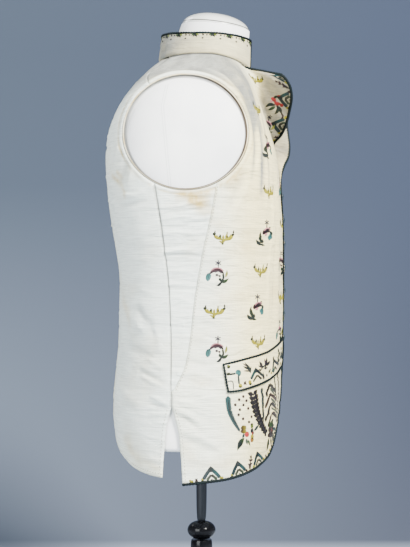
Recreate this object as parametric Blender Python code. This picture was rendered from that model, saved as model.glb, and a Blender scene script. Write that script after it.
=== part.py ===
"""An embroidered waistcoat worn on a limbless dress form with a turned stand.

The cloth is a skin round the body. `skin(angle, up)` gives a point of its inner face: the angle runs
round the body from the centre front over the wearer's right side, and `up` runs along the cloth from the
hem to the neck. Each piece of the waistcoat is a four-sided patch of that skin between its own seams,
thickened outwards. +Z is up, the front faces -Y and the wearer's right side faces -X.
"""

import math

import bmesh
import bpy
import numpy as np

MM = 0.001

# Cloth, in millimetres
WALL = 1.6  # outer cloth and lining together
COLLAR_WALL = 2.4
SEAM_GAP = 0.4
FORM_CLEAR = 3.2  # air between the form and the cloth
LAP = 14.0  # how far each front reaches past the centre front
LAP_LIFT = 2.4  # the left front lies this far out over the right one
LAP_RAMP = 24.0  # degrees over which it comes back down to the form
LAP_FLAT = 8.0  # degrees before that ramp starts
LAP_HEIGHTS = (690, 760)  # the lap's lift dies away between these heights

# The inner face of the cloth at each height: heights and depths in millimetres
SECTION_NAMES = (
    "side_z", "front_z", "back_z", "half_width", "front_y", "back_y", "centre_y",
    "front_square", "back_square",
)
SECTIONS = (
    (225, 225, 225, 170, -108.5, 110.5, 8, 2.3, 2.5),
    (250, 250, 250, 170, -110.5, 116.5, 8, 2.3, 2.5),
    (285, 285, 285, 169, -113.5, 125.5, 8, 2.3, 2.5),
    (316, 316, 316, 167, -114.5, 129.5, 8, 2.3, 2.5),
    (350, 350, 350, 165, -116, 128.5, 8, 2.3, 2.5),
    (390, 390, 390, 160, -117, 125.5, 8, 2.3, 2.5),
    (433, 433, 433, 154, -118, 121.5, 8, 2.3, 2.5),
    (480, 480, 480, 149, -119, 120, 8, 2.3, 2.5),
    (530, 530, 530, 148, -119.5, 121, 8, 2.3, 2.5),
    (567, 567, 567, 150, -119.5, 125.5, 9, 2.3, 2.6),
    (606, 606, 606, 154, -118.5, 131.5, 10, 2.4, 2.8),
    (642, 642, 642, 158, -116.5, 136.5, 12, 2.4, 3.0),
    (680, 678, 680, 158, -113.5, 139, 14, 2.5, 3.2),
    (720, 708, 714, 155, -108, 138, 15, 2.6, 3.3),
    (760, 738, 745, 151, -99.5, 131, 16, 2.6, 3.3),
    (792, 764, 773, 146, -90.5, 117.5, 16, 2.6, 3.1),
    (811, 785, 796, 136, -83.5, 102.5, 14, 2.5, 2.8),
    (824, 802, 815, 115, -78.5, 89.5, 9, 2.4, 2.6),
    (837, 819, 831, 90, -73.5, 76.5, 2, 2.3, 2.4),
    (849, 833, 845, 65, -68.5, 60.5, -4, 2.2, 2.3),
)

# Seams and edges seen from the side, each point as depth and height
ARMHOLE_CENTRE = (22, 729)
ARMHOLE_RADII = (89, 83)
SIDE_SEAM_CLOCK = -61  # degrees up from the back of the armhole, where each seam meets it
GUSSET_CLOCK = -119
SHOULDER_SEAM_CLOCK = 55
SHOULDER_SEAM_ANGLE = 140  # degrees round the body, where that seam meets the neck
SLIT_TOP = (41, 345)
GUSSET_TIP_BACK = (41, 366)
GUSSET_TIP_FRONT = (37.5, 368)
SIDE_SEAM = (GUSSET_TIP_BACK, (41.5, 440), (45, 511), (51, 562), (59, 620))
GUSSET_LINE = (GUSSET_TIP_FRONT, (33, 377), (24, 396), (17, 429), (9, 497), (-1, 556), (-13, 610))
SLIT_FRONT_EDGE = ((26, 238), (28.5, 278), (32, 310), SLIT_TOP)
SLIT_BACK_EDGE = ((54, 246), (51.5, 286), (48, 320), SLIT_TOP)

# Edges that cross the front or the back, each point as degrees round the body and height
FRONT_CORNER = (44, 271)
FRONT_EDGE = (FRONT_CORNER, (35, 290), (26, 312), (16, 347), (4, 396), (-4.5, 433), (-6.4, 470), (-6.4, 560))
FRONT_HEM = (FRONT_CORNER, (52.5, 261), (63, 252), (75, 245), (87, 241))
BACK_HEM = ((114, 249), (124, 255), (136, 265), (148, 275), (163, 284), (180, 287))

# The open top corner of each front, by its height at the centre front: how much cloth turns forward, and
# the radius of the soft bend
FLARES = {
    "right": ((710, 0, 5), (720, 1, 5), (730, 11, 6), (741, 24, 8), (763, 42, 10), (781, 54, 12),
              (800, 65, 14), (815, 69, 14), (826, 67, 14), (833, 59, 14)),
    "left": ((650, 0, 5), (672, 7, 5), (686, 12, 6), (698, 18, 6), (708, 25, 7), (727, 34, 8),
             (741, 38, 9), (763, 45, 11), (781, 53, 12), (800, 60, 14), (815, 63, 14), (826, 61, 14),
             (833, 52, 14)),
}
FLARE_TURN = 86  # degrees
FLARE_DROOP = 0.22  # fall of the turned cloth, as a share of its reach
NECK_DIP = 9  # how far the open corner's top edge falls below the neck seam
NECK_DIP_RUN = 25  # over this much cloth below the neck seam
NECK_DIP_ANGLES = (31, 45)  # full up to the first, gone at the second
EDGE_UPRIGHT = 590  # from here up, the front edge runs parallel to the centre front
ARMHOLE_FOOT = 640  # the height that parts the net's rows beside the armhole from those below it

# Pocket flap, as degrees round the body and height
FLAP_TOP = ((76, 403), (65.5, 409), (46, 419), (19, 436))
FLAP_BOTTOM = ((74, 365), (67, 367), (60, 371), (48, 378), (37, 385), (17.5, 395))
FLAP_WALL = 1.5
FLAP_GAP = 0.6

# Armhole bindings, measured from the panels' edges and inner faces
BINDING_WIDTH = 2.2
BINDING_INNER, BINDING_OUTER = 0.4, 0.6  # how far it stands proud of the wall on each side
BINDING_ROUND = 0.7

# Buttons down the centre front
BUTTON_COUNT = 7
BUTTON_TOP = 645
BUTTON_PITCH = 35
BUTTON_RADIUS = 6
BUTTON_HEIGHT = 1.7
BUTTON_RIM = 0.3  # its edge, as a share of its height
BUTTON_GAP = 0.55

# Stand collar: its upper edge as heights at the front, side and back, then its half width and depths
COLLAR_TOP = {"front_z": 877, "side_z": 881, "back_z": 885, "half_width": 59, "front_y": -72.6, "back_y": 57}
COLLAR_OPENING = 10  # degrees each side of the centre front
COLLAR_SEAT = 0.7  # gap above the fronts and the back

# Dress form
FORM_BOTTOM = 281
FORM_EDGE = ((9, 0), (3, 1.6), (0.6, 4.5))  # its rounded bottom edge, as inset and height
FORM_NECK_CLEAR, FORM_NECK_RUN = 2, 50  # more air near the neck seam, over this much cloth
NECK_NAMES = ("front_z", "side_z", "back_z", "half_width", "front_y", "back_y", "centre_y")
NECK_SECTIONS = (
    (841, 857, 855, 57, -67.5, 48, -8),
    (853, 867, 867, 54, -69, 40, -14),
    (872, 883, 887, 53, -70.5, 36, -18),
    (891, 898, 904, 52, -72, 30, -20),
)
CAP_HEIGHT = 21
CAP_INSET = 0.99  # its rim, as a share of the neck's
CAP_RINGS = (0, 14, 30, 46, 62, 78)  # degrees up the dome
ARM_PLATE_CENTRE = (22, 724)
ARM_PLATE_RADII = (82, 76)
ARM_PLATE_RIM = 1.5
ARM_PLATE_DOME = 6
ARM_PLATE_GAP = 0.8
ARM_PLATE_RINGS = (0.25, 0.5, 0.75, 0.93, 1.0)  # shares of its radius

# Stand
TOUCH = 0.3
POLE_RADIUS = 8
POLE_TAPER = (2, 6)  # width and height of the cone at its foot
KNOB_BOTTOM, KNOB_TOP, KNOB_RADIUS = 132, 160, 21.5
KNOB_FULLNESS = 0.8  # under 1 makes its side fuller than a ball's
COLUMN_RADIUS = 17
COLUMN_CHAMFER = (2, 4)
COLUMN_FLARE = ((0, 26), (5, 12), (14, 4), (16, 0))  # widening and height above its foot
BASE_THICK, BASE_RADIUS = 16, 145
BASE_EDGE = ((-14, 16), (-4, 12), (0, 7), (0, 2), (-2, 0))  # past its radius, and height

EVENING = 300  # passes over each net
MM_PER_DEGREE = 2.4  # about, round the body


def spline(knots, values, at):
    """Smooth curve through the knots, with slopes taken from each knot's neighbours."""
    knots = np.asarray(knots, float)
    values = np.asarray(values, float)
    at = np.clip(at, knots[0], knots[-1])
    slopes = np.gradient(values, knots)
    low = np.clip(np.searchsorted(knots, at) - 1, 0, len(knots) - 2)
    span = knots[low + 1] - knots[low]
    t = (at - knots[low]) / span
    start = (1 + 2 * t) * (1 - t) ** 2 * values[low] + t * (1 - t) ** 2 * span * slopes[low]
    end = t**2 * (3 - 2 * t) * values[low + 1] + t**2 * (t - 1) * span * slopes[low + 1]
    return start + end


def along_cloth():
    """Distance up the cloth of each section, the mean of its front, side and back."""
    table = np.array(SECTIONS, float)
    front = np.hypot(np.diff(table[:, 1]), np.diff(table[:, 4]))
    side = np.hypot(np.diff(table[:, 0]), np.diff(table[:, 3]))
    back = np.hypot(np.diff(table[:, 2]), np.diff(table[:, 5]))
    return table[0, 0] + np.concatenate([[0], np.cumsum((front + side + back) / 3)])


UPS = along_cloth()
COLUMNS = dict(zip(SECTION_NAMES, np.array(SECTIONS, float).T))
NECK = UPS[-1]


def section(name, up):
    return spline(UPS, COLUMNS[name], up)


def up_at(name, height):
    """The distance up the cloth where the named height reaches this value."""
    return np.interp(height, COLUMNS[name], UPS)


def skin(angle, up):
    """Point of the cloth's inner face; angle in degrees."""
    angle, up = np.broadcast_arrays(np.asarray(angle, float), np.asarray(up, float))
    cos, sin = np.cos(np.radians(angle)), np.sin(np.radians(angle))
    ahead = cos > 0
    half, centre = section("half_width", up), section("centre_y", up)
    reach = np.where(ahead, centre - section("front_y", up), section("back_y", up) - centre)
    square = np.where(ahead, section("front_square", up), section("back_square", up))
    radius = ((np.abs(sin) / half) ** square + (np.abs(cos) / reach) ** square) ** (-1 / square)
    side_z = section("side_z", up)
    end_z = np.where(ahead, section("front_z", up), section("back_z", up))
    return np.stack([-radius * sin, centre - radius * cos, side_z + (end_z - side_z) * cos**2], axis=-1)


def unit(vectors):
    return vectors / np.linalg.norm(vectors, axis=-1, keepdims=True)


def outward(angle, up):
    """Unit normal of the skin, away from the body."""
    up = np.clip(up, UPS[0] + 1, NECK - 1)
    around = skin(angle + 0.5, up) - skin(angle - 0.5, up)
    higher = skin(angle, up + 0.5) - skin(angle, up - 0.5)
    return unit(np.cross(higher, around))


def seen_at(depth, height):
    """Angle and distance up the cloth of the point that the right-hand side view shows at (depth, height)."""
    angles, ups = np.meshgrid(np.linspace(2, 178, 89), np.linspace(UPS[0], NECK, 120))
    net = skin(angles, ups)
    nearest = np.argmin((net[..., 1] - depth) ** 2 + (net[..., 2] - height) ** 2)
    place = np.array([angles.flat[nearest], ups.flat[nearest]])
    target = np.array([depth, height])
    for _ in range(8):
        here = skin(*place)[1:]
        slopes = np.stack([skin(*(place + step))[1:] - here for step in ((0.1, 0), (0, 0.1))]) / 0.1
        place = place + np.clip(np.linalg.lstsq(slopes.T, target - here, rcond=None)[0], -8, 8)
        place[1] = min(place[1], NECK)
    return place


def trace(points, count):
    """`count` even steps along a smooth curve through (angle, up) points."""
    points = np.asarray(points, float)
    steps = np.linalg.norm(np.diff(skin(points[:, 0], points[:, 1]), axis=0), axis=1)
    reached = np.concatenate([[0], np.cumsum(steps)])
    fine = np.linspace(0, reached[-1], 20 * count + 1)
    curve = np.stack([spline(reached, points[:, 0], fine), spline(reached, points[:, 1], fine)], axis=1)
    steps = np.linalg.norm(np.diff(skin(curve[:, 0], curve[:, 1]), axis=0), axis=1)
    reached = np.concatenate([[0], np.cumsum(steps)])
    even = np.linspace(0, reached[-1], count + 1)
    return np.stack([np.interp(even, reached, curve[:, 0]), np.interp(even, reached, curve[:, 1])], axis=1)


def join(*stretches):
    """Stretches that end where the next one starts, as one run of points."""
    return np.concatenate([stretches[0]] + [stretch[1:] for stretch in stretches[1:]])


def patch(left, right, bottom, top):
    """Four-sided net between its sides, blended from them and then evened out so that no two lines cross."""
    s = np.linspace(0, 1, len(bottom))[None, :, None]
    t = np.linspace(0, 1, len(left))[:, None, None]
    net = (1 - s) * left[:, None] + s * right[:, None] + (1 - t) * bottom[None] + t * top[None]
    net -= (1 - t) * ((1 - s) * bottom[0] + s * bottom[-1]) + t * ((1 - s) * top[0] + s * top[-1])
    net *= (MM_PER_DEGREE, 1)
    for _ in range(EVENING):
        across = (net[1:-1, 2:] - net[1:-1, :-2]) / 2
        higher = (net[2:, 1:-1] - net[:-2, 1:-1]) / 2
        wide = np.sum(across**2, axis=-1, keepdims=True)
        tall = np.sum(higher**2, axis=-1, keepdims=True)
        slant = np.sum(across * higher, axis=-1, keepdims=True)
        diagonal = (net[2:, 2:] - net[:-2, 2:] - net[2:, :-2] + net[:-2, :-2]) / 4
        beside, above = net[1:-1, 2:] + net[1:-1, :-2], net[2:, 1:-1] + net[:-2, 1:-1]
        target = (tall * beside + wide * above - 2 * slant * diagonal) / (2 * (tall + wide))
        net[1:-1, 1:-1] += 0.7 * (target - net[1:-1, 1:-1])
    return net / (MM_PER_DEGREE, 1)


# ---- Seams and edges as runs of (angle, up) ----


def side_points(points):
    return np.array([seen_at(*point) for point in points])


def crossing_points(points):
    """Points given as degrees and height; below the arms every height is the same all round."""
    points = np.array(points, float)
    return np.stack([points[:, 0], up_at("front_z", points[:, 1])], axis=1)


def armhole_point(clock):
    turn = math.radians(clock)
    depth = ARMHOLE_CENTRE[0] + ARMHOLE_RADII[0] * math.cos(turn)
    return seen_at(depth, ARMHOLE_CENTRE[1] + ARMHOLE_RADII[1] * math.sin(turn))


def armhole_arc(start, end, count):
    return np.array([armhole_point(clock) for clock in np.linspace(start, end, count + 1)])


def lap_angle(up):
    """Degrees past the centre front that the lap takes at this distance up the cloth."""
    return np.degrees(LAP / (section("centre_y", up) - section("front_y", up)))


def smooth_step(value):
    value = np.clip(value, 0, 1)
    return value**2 * (3 - 2 * value)


SEAM_STEPS, ARM_FRONT_STEPS, ARM_BACK_STEPS, ARM_UNDER_STEPS = 9, 15, 10, 5
SLIT_STEPS, SHOULDER_STEPS, NECK_FRONT_STEPS, NECK_BACK_STEPS = 4, 5, 12, 4
ARMHOLE_FRONT = armhole_arc(GUSSET_CLOCK, SHOULDER_SEAM_CLOCK - 360, ARM_FRONT_STEPS)
ARMHOLE_BACK = armhole_arc(SIDE_SEAM_CLOCK, SHOULDER_SEAM_CLOCK, ARM_BACK_STEPS)
ARMHOLE_UNDER = armhole_arc(SIDE_SEAM_CLOCK, GUSSET_CLOCK, ARM_UNDER_STEPS)
SIDE_SEAM_RUN = trace(np.concatenate([side_points(SIDE_SEAM), ARMHOLE_UNDER[:1]]), SEAM_STEPS)
GUSSET_RUN = trace(np.concatenate([side_points(GUSSET_LINE), ARMHOLE_UNDER[-1:]]), SEAM_STEPS)
SEAM_FOOT = trace(side_points((SLIT_TOP, GUSSET_TIP_BACK)), 1)
GUSSET_FOOT = trace(side_points((GUSSET_TIP_BACK, GUSSET_TIP_FRONT)), 2)
SHOULDER_RUN = trace([(SHOULDER_SEAM_ANGLE, NECK), ARMHOLE_BACK[-1]], SHOULDER_STEPS)


def front_net():
    """The front as a net of (angle, up): its columns run back from the front edge, its rows go up."""
    slit = trace(side_points(SLIT_FRONT_EDGE), SLIT_STEPS)
    side = join(slit, SEAM_FOOT, GUSSET_FOOT, GUSSET_RUN, ARMHOLE_FRONT)
    low = crossing_points(FRONT_EDGE)
    ups = np.linspace(up_at("front_z", EDGE_UPRIGHT), NECK, 9)
    high = np.stack([-lap_angle(ups), ups], axis=1)
    low_steps = len(side) - 1 - ARM_FRONT_STEPS
    whole = np.concatenate([low, high])
    middle = np.argmin(np.abs(whole[:, 1] - up_at("front_z", ARMHOLE_FOOT)))
    edge = join(trace(whole[: middle + 1], low_steps), trace(whole[middle:], ARM_FRONT_STEPS))
    neck_angles = np.linspace(edge[-1, 0], SHOULDER_SEAM_ANGLE, 9)
    neck = trace([(angle, NECK) for angle in neck_angles], NECK_FRONT_STEPS)
    hem = trace(np.concatenate([crossing_points(FRONT_HEM), slit[:1]]), NECK_FRONT_STEPS + SHOULDER_STEPS)
    return patch(edge, side, hem, join(neck, SHOULDER_RUN))


def back_net():
    """Half the back as a net of (angle, up), from the right side seam to the centre back seam."""
    slit = trace(side_points(SLIT_BACK_EDGE), SLIT_STEPS)
    side = join(slit, SEAM_FOOT, SIDE_SEAM_RUN, ARMHOLE_BACK)
    hem = trace(np.concatenate([slit[:1], crossing_points(BACK_HEM)]), SHOULDER_STEPS + NECK_BACK_STEPS)
    middle = trace([(180, hem[-1, 1]), (180, up_at("back_z", 600)), (180, NECK)], len(side) - 1)
    neck = trace([(SHOULDER_SEAM_ANGLE, NECK), (160, NECK), (180, NECK)], NECK_BACK_STEPS)
    return patch(side, middle, hem, join(SHOULDER_RUN[::-1], neck))


def gusset_net():
    return patch(GUSSET_RUN, SIDE_SEAM_RUN, trace(GUSSET_FOOT[::-1], ARM_UNDER_STEPS), ARMHOLE_UNDER[::-1])


# ---- Cloth in space ----


def front_cloth(angle, up, side):
    """Point and unit normal of a front's inner face, with its turned corner and, on the left, its lap."""
    table = np.array(FLARES[side], float)
    knots = up_at("front_z", table[:, 0])
    width = np.where(up < knots[0], 0, spline(knots, table[:, 1], up))
    radius = spline(knots, table[:, 2], up)
    reach = section("centre_y", up) - section("front_y", up)
    fold = -lap_angle(up) + np.degrees(width / reach)
    beyond = np.where(width > 0.05, np.radians(np.clip(fold - angle, 0, None)) * reach, 0)
    base = np.where(beyond > 0, fold, angle)
    point, normal = skin(base, up), outward(base, up)
    flat = unit(normal * (1, 1, 0))
    ahead = np.stack([-flat[..., 1], flat[..., 0], np.zeros_like(up)], axis=-1)
    turn = math.radians(FLARE_TURN)
    bend = np.minimum(beyond / radius, turn)
    straight = np.maximum(beyond - radius * turn, 0)
    along = radius * np.sin(bend) + straight * np.cos(bend)
    out = radius * (1 - np.cos(bend)) + straight * np.sin(bend)
    point = point + along[..., None] * ahead + out[..., None] * flat
    point[..., 2] -= FLARE_DROOP * beyond
    normal = np.sin(bend)[..., None] * -ahead + np.cos(bend)[..., None] * normal
    if side == "left":
        full, gone = up_at("front_z", LAP_HEIGHTS)
        low = 1 - smooth_step((up - full) / (gone - full))
        lift = LAP_LIFT * low * (1 - smooth_step((base - LAP_FLAT) / LAP_RAMP))
        point = point + lift[..., None] * normal
    return point, unit(normal)


def mirrored(points):
    return points[:, ::-1] * (-1, 1, 1)


def seamed(points):
    """The net's edges drawn in by half a seam gap."""
    points = points.copy()
    for edge, inner in ((0, 1), (-1, -2)):
        points[:, edge] += SEAM_GAP / 2 * unit(points[:, inner] - points[:, edge])
        points[edge] += SEAM_GAP / 2 * unit(points[inner] - points[edge])
    return points


# ---- Blender objects ----


def clear_scene():
    for obj in list(bpy.data.objects):
        bpy.data.objects.remove(obj)


def finish(name, colour, roughness, metallic=0.0):
    material = bpy.data.materials.new(name)
    material.use_nodes = True
    shader = material.node_tree.nodes["Principled BSDF"]
    shader.inputs["Base Color"].default_value = (*colour, 1)
    shader.inputs["Roughness"].default_value = roughness
    shader.inputs["Metallic"].default_value = metallic
    return material


def add_object(name, points, faces, look):
    """A smooth-shaded object from points in millimetres."""
    mesh = bpy.data.meshes.new(name)
    mesh.from_pydata([tuple(point) for point in np.asarray(points) * MM], [], faces)
    mesh.materials.append(look)
    mesh.shade_smooth()
    obj = bpy.data.objects.new(name, mesh)
    bpy.context.scene.collection.objects.link(obj)
    return obj


def net_faces(rows, columns, closed=False):
    """Quads of a net whose rows go up and whose columns run round, wound to face outwards."""
    faces = []
    for row in range(rows - 1):
        for column in range(columns if closed else columns - 1):
            beside = (column + 1) % columns
            faces.append((row * columns + column, (row + 1) * columns + column,
                          (row + 1) * columns + beside, row * columns + beside))
    return faces


def sheet(name, points, thickness, look):
    """A wall of cloth on a net of points, thickened outwards."""
    rows, columns = points.shape[:2]
    obj = add_object(name, points.reshape(-1, 3), net_faces(rows, columns), look)
    wall = obj.modifiers.new("Wall", "SOLIDIFY")
    wall.thickness = thickness * MM
    wall.offset = 1
    return obj


def rings(name, loops, look, loop_ends=False):
    """A solid through closed loops of points: capped at both ends, or bent round until it meets itself."""
    rows, columns = loops.shape[:2]
    faces = net_faces(rows, columns, closed=True)
    if loop_ends:
        for column in range(columns):
            beside = (column + 1) % columns
            faces.append(((rows - 1) * columns + column, column, beside, (rows - 1) * columns + beside))
    else:
        faces.append(tuple(range(columns)))
        faces.append(tuple((rows - 1) * columns + column for column in reversed(range(columns))))
    obj = add_object(name, loops.reshape(-1, 3), faces, look)
    mesh = bmesh.new()
    mesh.from_mesh(obj.data)
    bmesh.ops.recalc_face_normals(mesh, faces=mesh.faces)
    mesh.to_mesh(obj.data)
    mesh.free()
    return obj


def turned(name, profile, look, steps=32):
    """A solid turned about the Z axis from (radius, height) points that run down its outer side."""
    mesh = bpy.data.meshes.new(name)
    points = [(radius * MM, 0, height * MM) for radius, height in profile]
    mesh.from_pydata(points, [(i, i + 1) for i in range(len(points) - 1)], [])
    mesh.materials.append(look)
    obj = bpy.data.objects.new(name, mesh)
    bpy.context.scene.collection.objects.link(obj)
    spin = obj.modifiers.new("Turn", "SCREW")
    spin.steps = spin.render_steps = steps
    spin.use_merge_vertices = True
    spin.merge_threshold = 0.0001
    spin.use_smooth_shade = True
    return obj


# ---- Waistcoat ----


def make_fronts(look):
    net = front_net()
    angle, up = net[..., 0], net[..., 1]
    neck_share = smooth_step((up - (NECK - NECK_DIP_RUN)) / NECK_DIP_RUN)
    full, gone = NECK_DIP_ANGLES
    up = up - NECK_DIP * neck_share * smooth_step((gone - angle) / (gone - full))
    right, _ = front_cloth(angle, up, "right")
    left, _ = front_cloth(angle, up, "left")
    sheet("front_right", seamed(right), WALL, look)
    sheet("front_left", seamed(mirrored(left)), WALL, look)


def make_plain_panels(look):
    """The two halves of the back and the gussets under the arms, each a pair."""
    for name, net in (("back", back_net()), ("gusset", gusset_net())):
        points = skin(net[..., 0], net[..., 1])
        sheet(name + "_right", seamed(points), WALL, look)
        sheet(name + "_left", seamed(mirrored(points)), WALL, look)


def make_bindings(look):
    """A narrow roll just inside each armhole, a section at every point of the panels' edges."""
    loop = np.concatenate([ARMHOLE_FRONT, ARMHOLE_BACK[-2::-1], ARMHOLE_UNDER[1:-1]])
    edge, normal = skin(loop[:, 0], loop[:, 1]), outward(loop[:, 0], loop[:, 1])
    tangent = unit(np.roll(edge, -1, axis=0) - np.roll(edge, 1, axis=0))
    inward = unit(np.cross(tangent, normal))
    centre = edge.mean(axis=0)
    inward *= np.sign(np.sum(inward * (centre - edge), axis=1))[:, None]
    near, far, low, high = SEAM_GAP, SEAM_GAP + BINDING_WIDTH, -BINDING_INNER, WALL + BINDING_OUTER
    corners = ((near, low), (far, low + BINDING_ROUND), (far, high - BINDING_ROUND), (near, high))
    sections = np.stack([edge + across * inward + out * normal for across, out in corners], axis=1)
    rings("armhole_binding_right", sections, look, loop_ends=True)
    rings("armhole_binding_left", sections * (-1, 1, 1), look, loop_ends=True)


def make_collar(look):
    """The stand collar: from just above the neck seam to its own leaning upper edge."""
    angle = np.linspace(COLLAR_OPENING, 360 - COLLAR_OPENING, 33)
    bottom = skin(angle, NECK) + (WALL + COLLAR_SEAT) * outward(angle, NECK)
    cos, sin = np.cos(np.radians(angle)), np.sin(np.radians(angle))
    top = COLLAR_TOP
    centre = (top["front_y"] + top["back_y"]) / 2
    reach = (top["back_y"] - top["front_y"]) / 2
    end_z = np.where(cos > 0, top["front_z"], top["back_z"])
    upper = np.stack([-top["half_width"] * sin, centre - reach * cos,
                      top["side_z"] + (end_z - top["side_z"]) * cos**2], axis=1)
    rise = np.linspace(0, 1, 5)[:, None, None]
    sheet("collar", (1 - rise) * bottom + rise * upper, COLLAR_WALL, look)


def make_flaps(look):
    top, bottom = trace(crossing_points(FLAP_TOP), 10)[::-1], trace(crossing_points(FLAP_BOTTOM), 10)[::-1]
    rise = np.linspace(0, 1, 4)[:, None, None]
    net = (1 - rise) * bottom + rise * top
    for side in ("right", "left"):
        point, normal = front_cloth(net[..., 0], net[..., 1], side)
        point = point + (WALL + FLAP_GAP) * normal
        sheet(f"pocket_flap_{side}", point if side == "right" else mirrored(point), FLAP_WALL, look)


def make_buttons(look):
    """Low domes on the left front, down the centre line."""
    crown = 1 - BUTTON_RIM
    profile = [(BUTTON_RADIUS * math.sin(t), BUTTON_HEIGHT * (BUTTON_RIM + crown * math.cos(t)))
               for t in np.linspace(0, math.pi / 2, 4)]
    profile[0] = (0, BUTTON_HEIGHT)
    for number in range(BUTTON_COUNT):
        up = np.array([up_at("front_z", BUTTON_TOP - BUTTON_PITCH * number)])
        point, normal = front_cloth(np.zeros(1), up, "left")
        seat = (point + (WALL + BUTTON_GAP) * normal)[0] * (-1, 1, 1)
        button = turned(f"button_{number + 1}", profile + [(BUTTON_RADIUS, 0), (0, 0)], look, steps=12)
        button.location = seat * MM
        button.rotation_euler = (math.pi / 2, 0, 0)


# ---- Dress form and stand ----


def make_form(cloth, gloss):
    """The torso and neck as one solid, and the gloss cap on the neck's sloping rim."""
    angle = np.arange(0, 360, 9.0)
    foot, above_edge, chest = up_at("front_z", (FORM_BOTTOM, FORM_BOTTOM + 8, ARMHOLE_FOOT))
    ups = np.concatenate([np.linspace(above_edge, chest, 12), np.linspace(chest, NECK, 11)[1:]])
    loops = []
    for inset, height in FORM_EDGE:
        loop = skin(angle, foot) - (FORM_CLEAR + inset) * outward(angle, foot)
        loop[:, 2] = FORM_BOTTOM + height
        loops.append(loop)
    for up in ups:
        clear = FORM_CLEAR + FORM_NECK_CLEAR * smooth_step((up - NECK + FORM_NECK_RUN) / FORM_NECK_RUN)
        loops.append(skin(angle, up) - clear * outward(angle, up))
    cos, sin = np.cos(np.radians(angle)), np.sin(np.radians(angle))
    ahead = cos > 0
    for row in NECK_SECTIONS:
        at = dict(zip(NECK_NAMES, row))  # one height, as on the body but round
        reach = np.where(ahead, at["centre_y"] - at["front_y"], at["back_y"] - at["centre_y"])
        end_z = np.where(ahead, at["front_z"], at["back_z"])
        loops.append(np.stack([-at["half_width"] * sin, at["centre_y"] - reach * cos,
                               at["side_z"] + (end_z - at["side_z"]) * cos**2], axis=1))
    rim = loops[-1]
    slope, level = np.polyfit(rim[:, 1], rim[:, 2], 1)
    rim[:, 2] = level + slope * rim[:, 1]
    rings("form_body", np.array(loops), cloth)
    middle = rim.mean(axis=0)
    dome = []
    for t in np.radians(CAP_RINGS):
        loop = middle + (rim - middle) * math.cos(t) * CAP_INSET
        loop[:, 2] += TOUCH + CAP_HEIGHT * math.sin(t)
        dome.append(loop)
    rings("neck_cap", np.array(dome), gloss)


def make_arm_plates(look):
    """A domed disc over each arm opening of the form, on the form's own surface."""
    turns = np.radians(np.arange(0, 360, 12.0))
    inner, outer = [], []
    for share in ARM_PLATE_RINGS:
        place = np.array([
            seen_at(ARM_PLATE_CENTRE[0] + ARM_PLATE_RADII[0] * share * math.cos(turn),
                    ARM_PLATE_CENTRE[1] + ARM_PLATE_RADII[1] * share * math.sin(turn))
            for turn in turns
        ])
        point, normal = skin(place[:, 0], place[:, 1]), outward(place[:, 0], place[:, 1])
        seat = point + (ARM_PLATE_GAP - FORM_CLEAR) * normal
        inner.append(seat)
        outer.append(seat + (ARM_PLATE_RIM + ARM_PLATE_DOME * (1 - share**3)) * normal)
    loops = np.array(inner + outer[::-1])
    rings("arm_plate_right", loops, look)
    rings("arm_plate_left", loops * (-1, 1, 1), look)


def make_stand(steel, black):
    middle, half = (KNOB_TOP + KNOB_BOTTOM) / 2, (KNOB_TOP - KNOB_BOTTOM) / 2
    knob = [(KNOB_RADIUS * math.sin(t) ** KNOB_FULLNESS, middle + half * math.cos(t))
            for t in np.linspace(0, math.pi, 13)]
    knob[0], knob[-1] = (0, KNOB_TOP), (0, KNOB_BOTTOM)
    turned("stand_knob", knob, black)
    top, foot = FORM_BOTTOM - TOUCH, KNOB_TOP + TOUCH
    inset, rise = POLE_TAPER
    cone = [(POLE_RADIUS, foot + rise), (POLE_RADIUS - inset, foot)]
    turned("stand_pole", [(0, top), (POLE_RADIUS, top), *cone, (0, foot)], steel)
    top, foot = KNOB_BOTTOM - TOUCH, BASE_THICK + TOUCH
    inset, rise = COLUMN_CHAMFER
    flare = [(COLUMN_RADIUS + widening, foot + height) for widening, height in COLUMN_FLARE]
    chamfer = [(COLUMN_RADIUS - inset, top), (COLUMN_RADIUS, top - rise)]
    turned("stand_column", [(0, top), *chamfer, *flare, (0, foot)], black)
    edge = [(BASE_RADIUS + past, height) for past, height in BASE_EDGE]
    turned("stand_base", [(0, BASE_THICK), *edge, (0, 0)], black, steps=48)


def main():
    clear_scene()
    embroidered = finish("embroidered cloth", (0.80, 0.76, 0.66), 0.85)
    plain = finish("plain cloth", (0.80, 0.80, 0.77), 0.88)
    form = finish("form cloth", (0.83, 0.83, 0.80), 0.9)
    gloss = finish("white gloss", (0.85, 0.85, 0.83), 0.25)
    steel = finish("steel", (0.55, 0.57, 0.60), 0.3, 1.0)
    black = finish("black lacquer", (0.01, 0.01, 0.012), 0.12)
    make_fronts(embroidered)
    make_plain_panels(plain)
    make_bindings(plain)
    make_collar(embroidered)
    make_flaps(embroidered)
    make_buttons(embroidered)
    make_form(form, gloss)
    make_arm_plates(form)
    make_stand(steel, black)


main()
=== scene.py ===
"""Looks of an embroidered waistcoat on its dress form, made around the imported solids."""

import math

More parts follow.
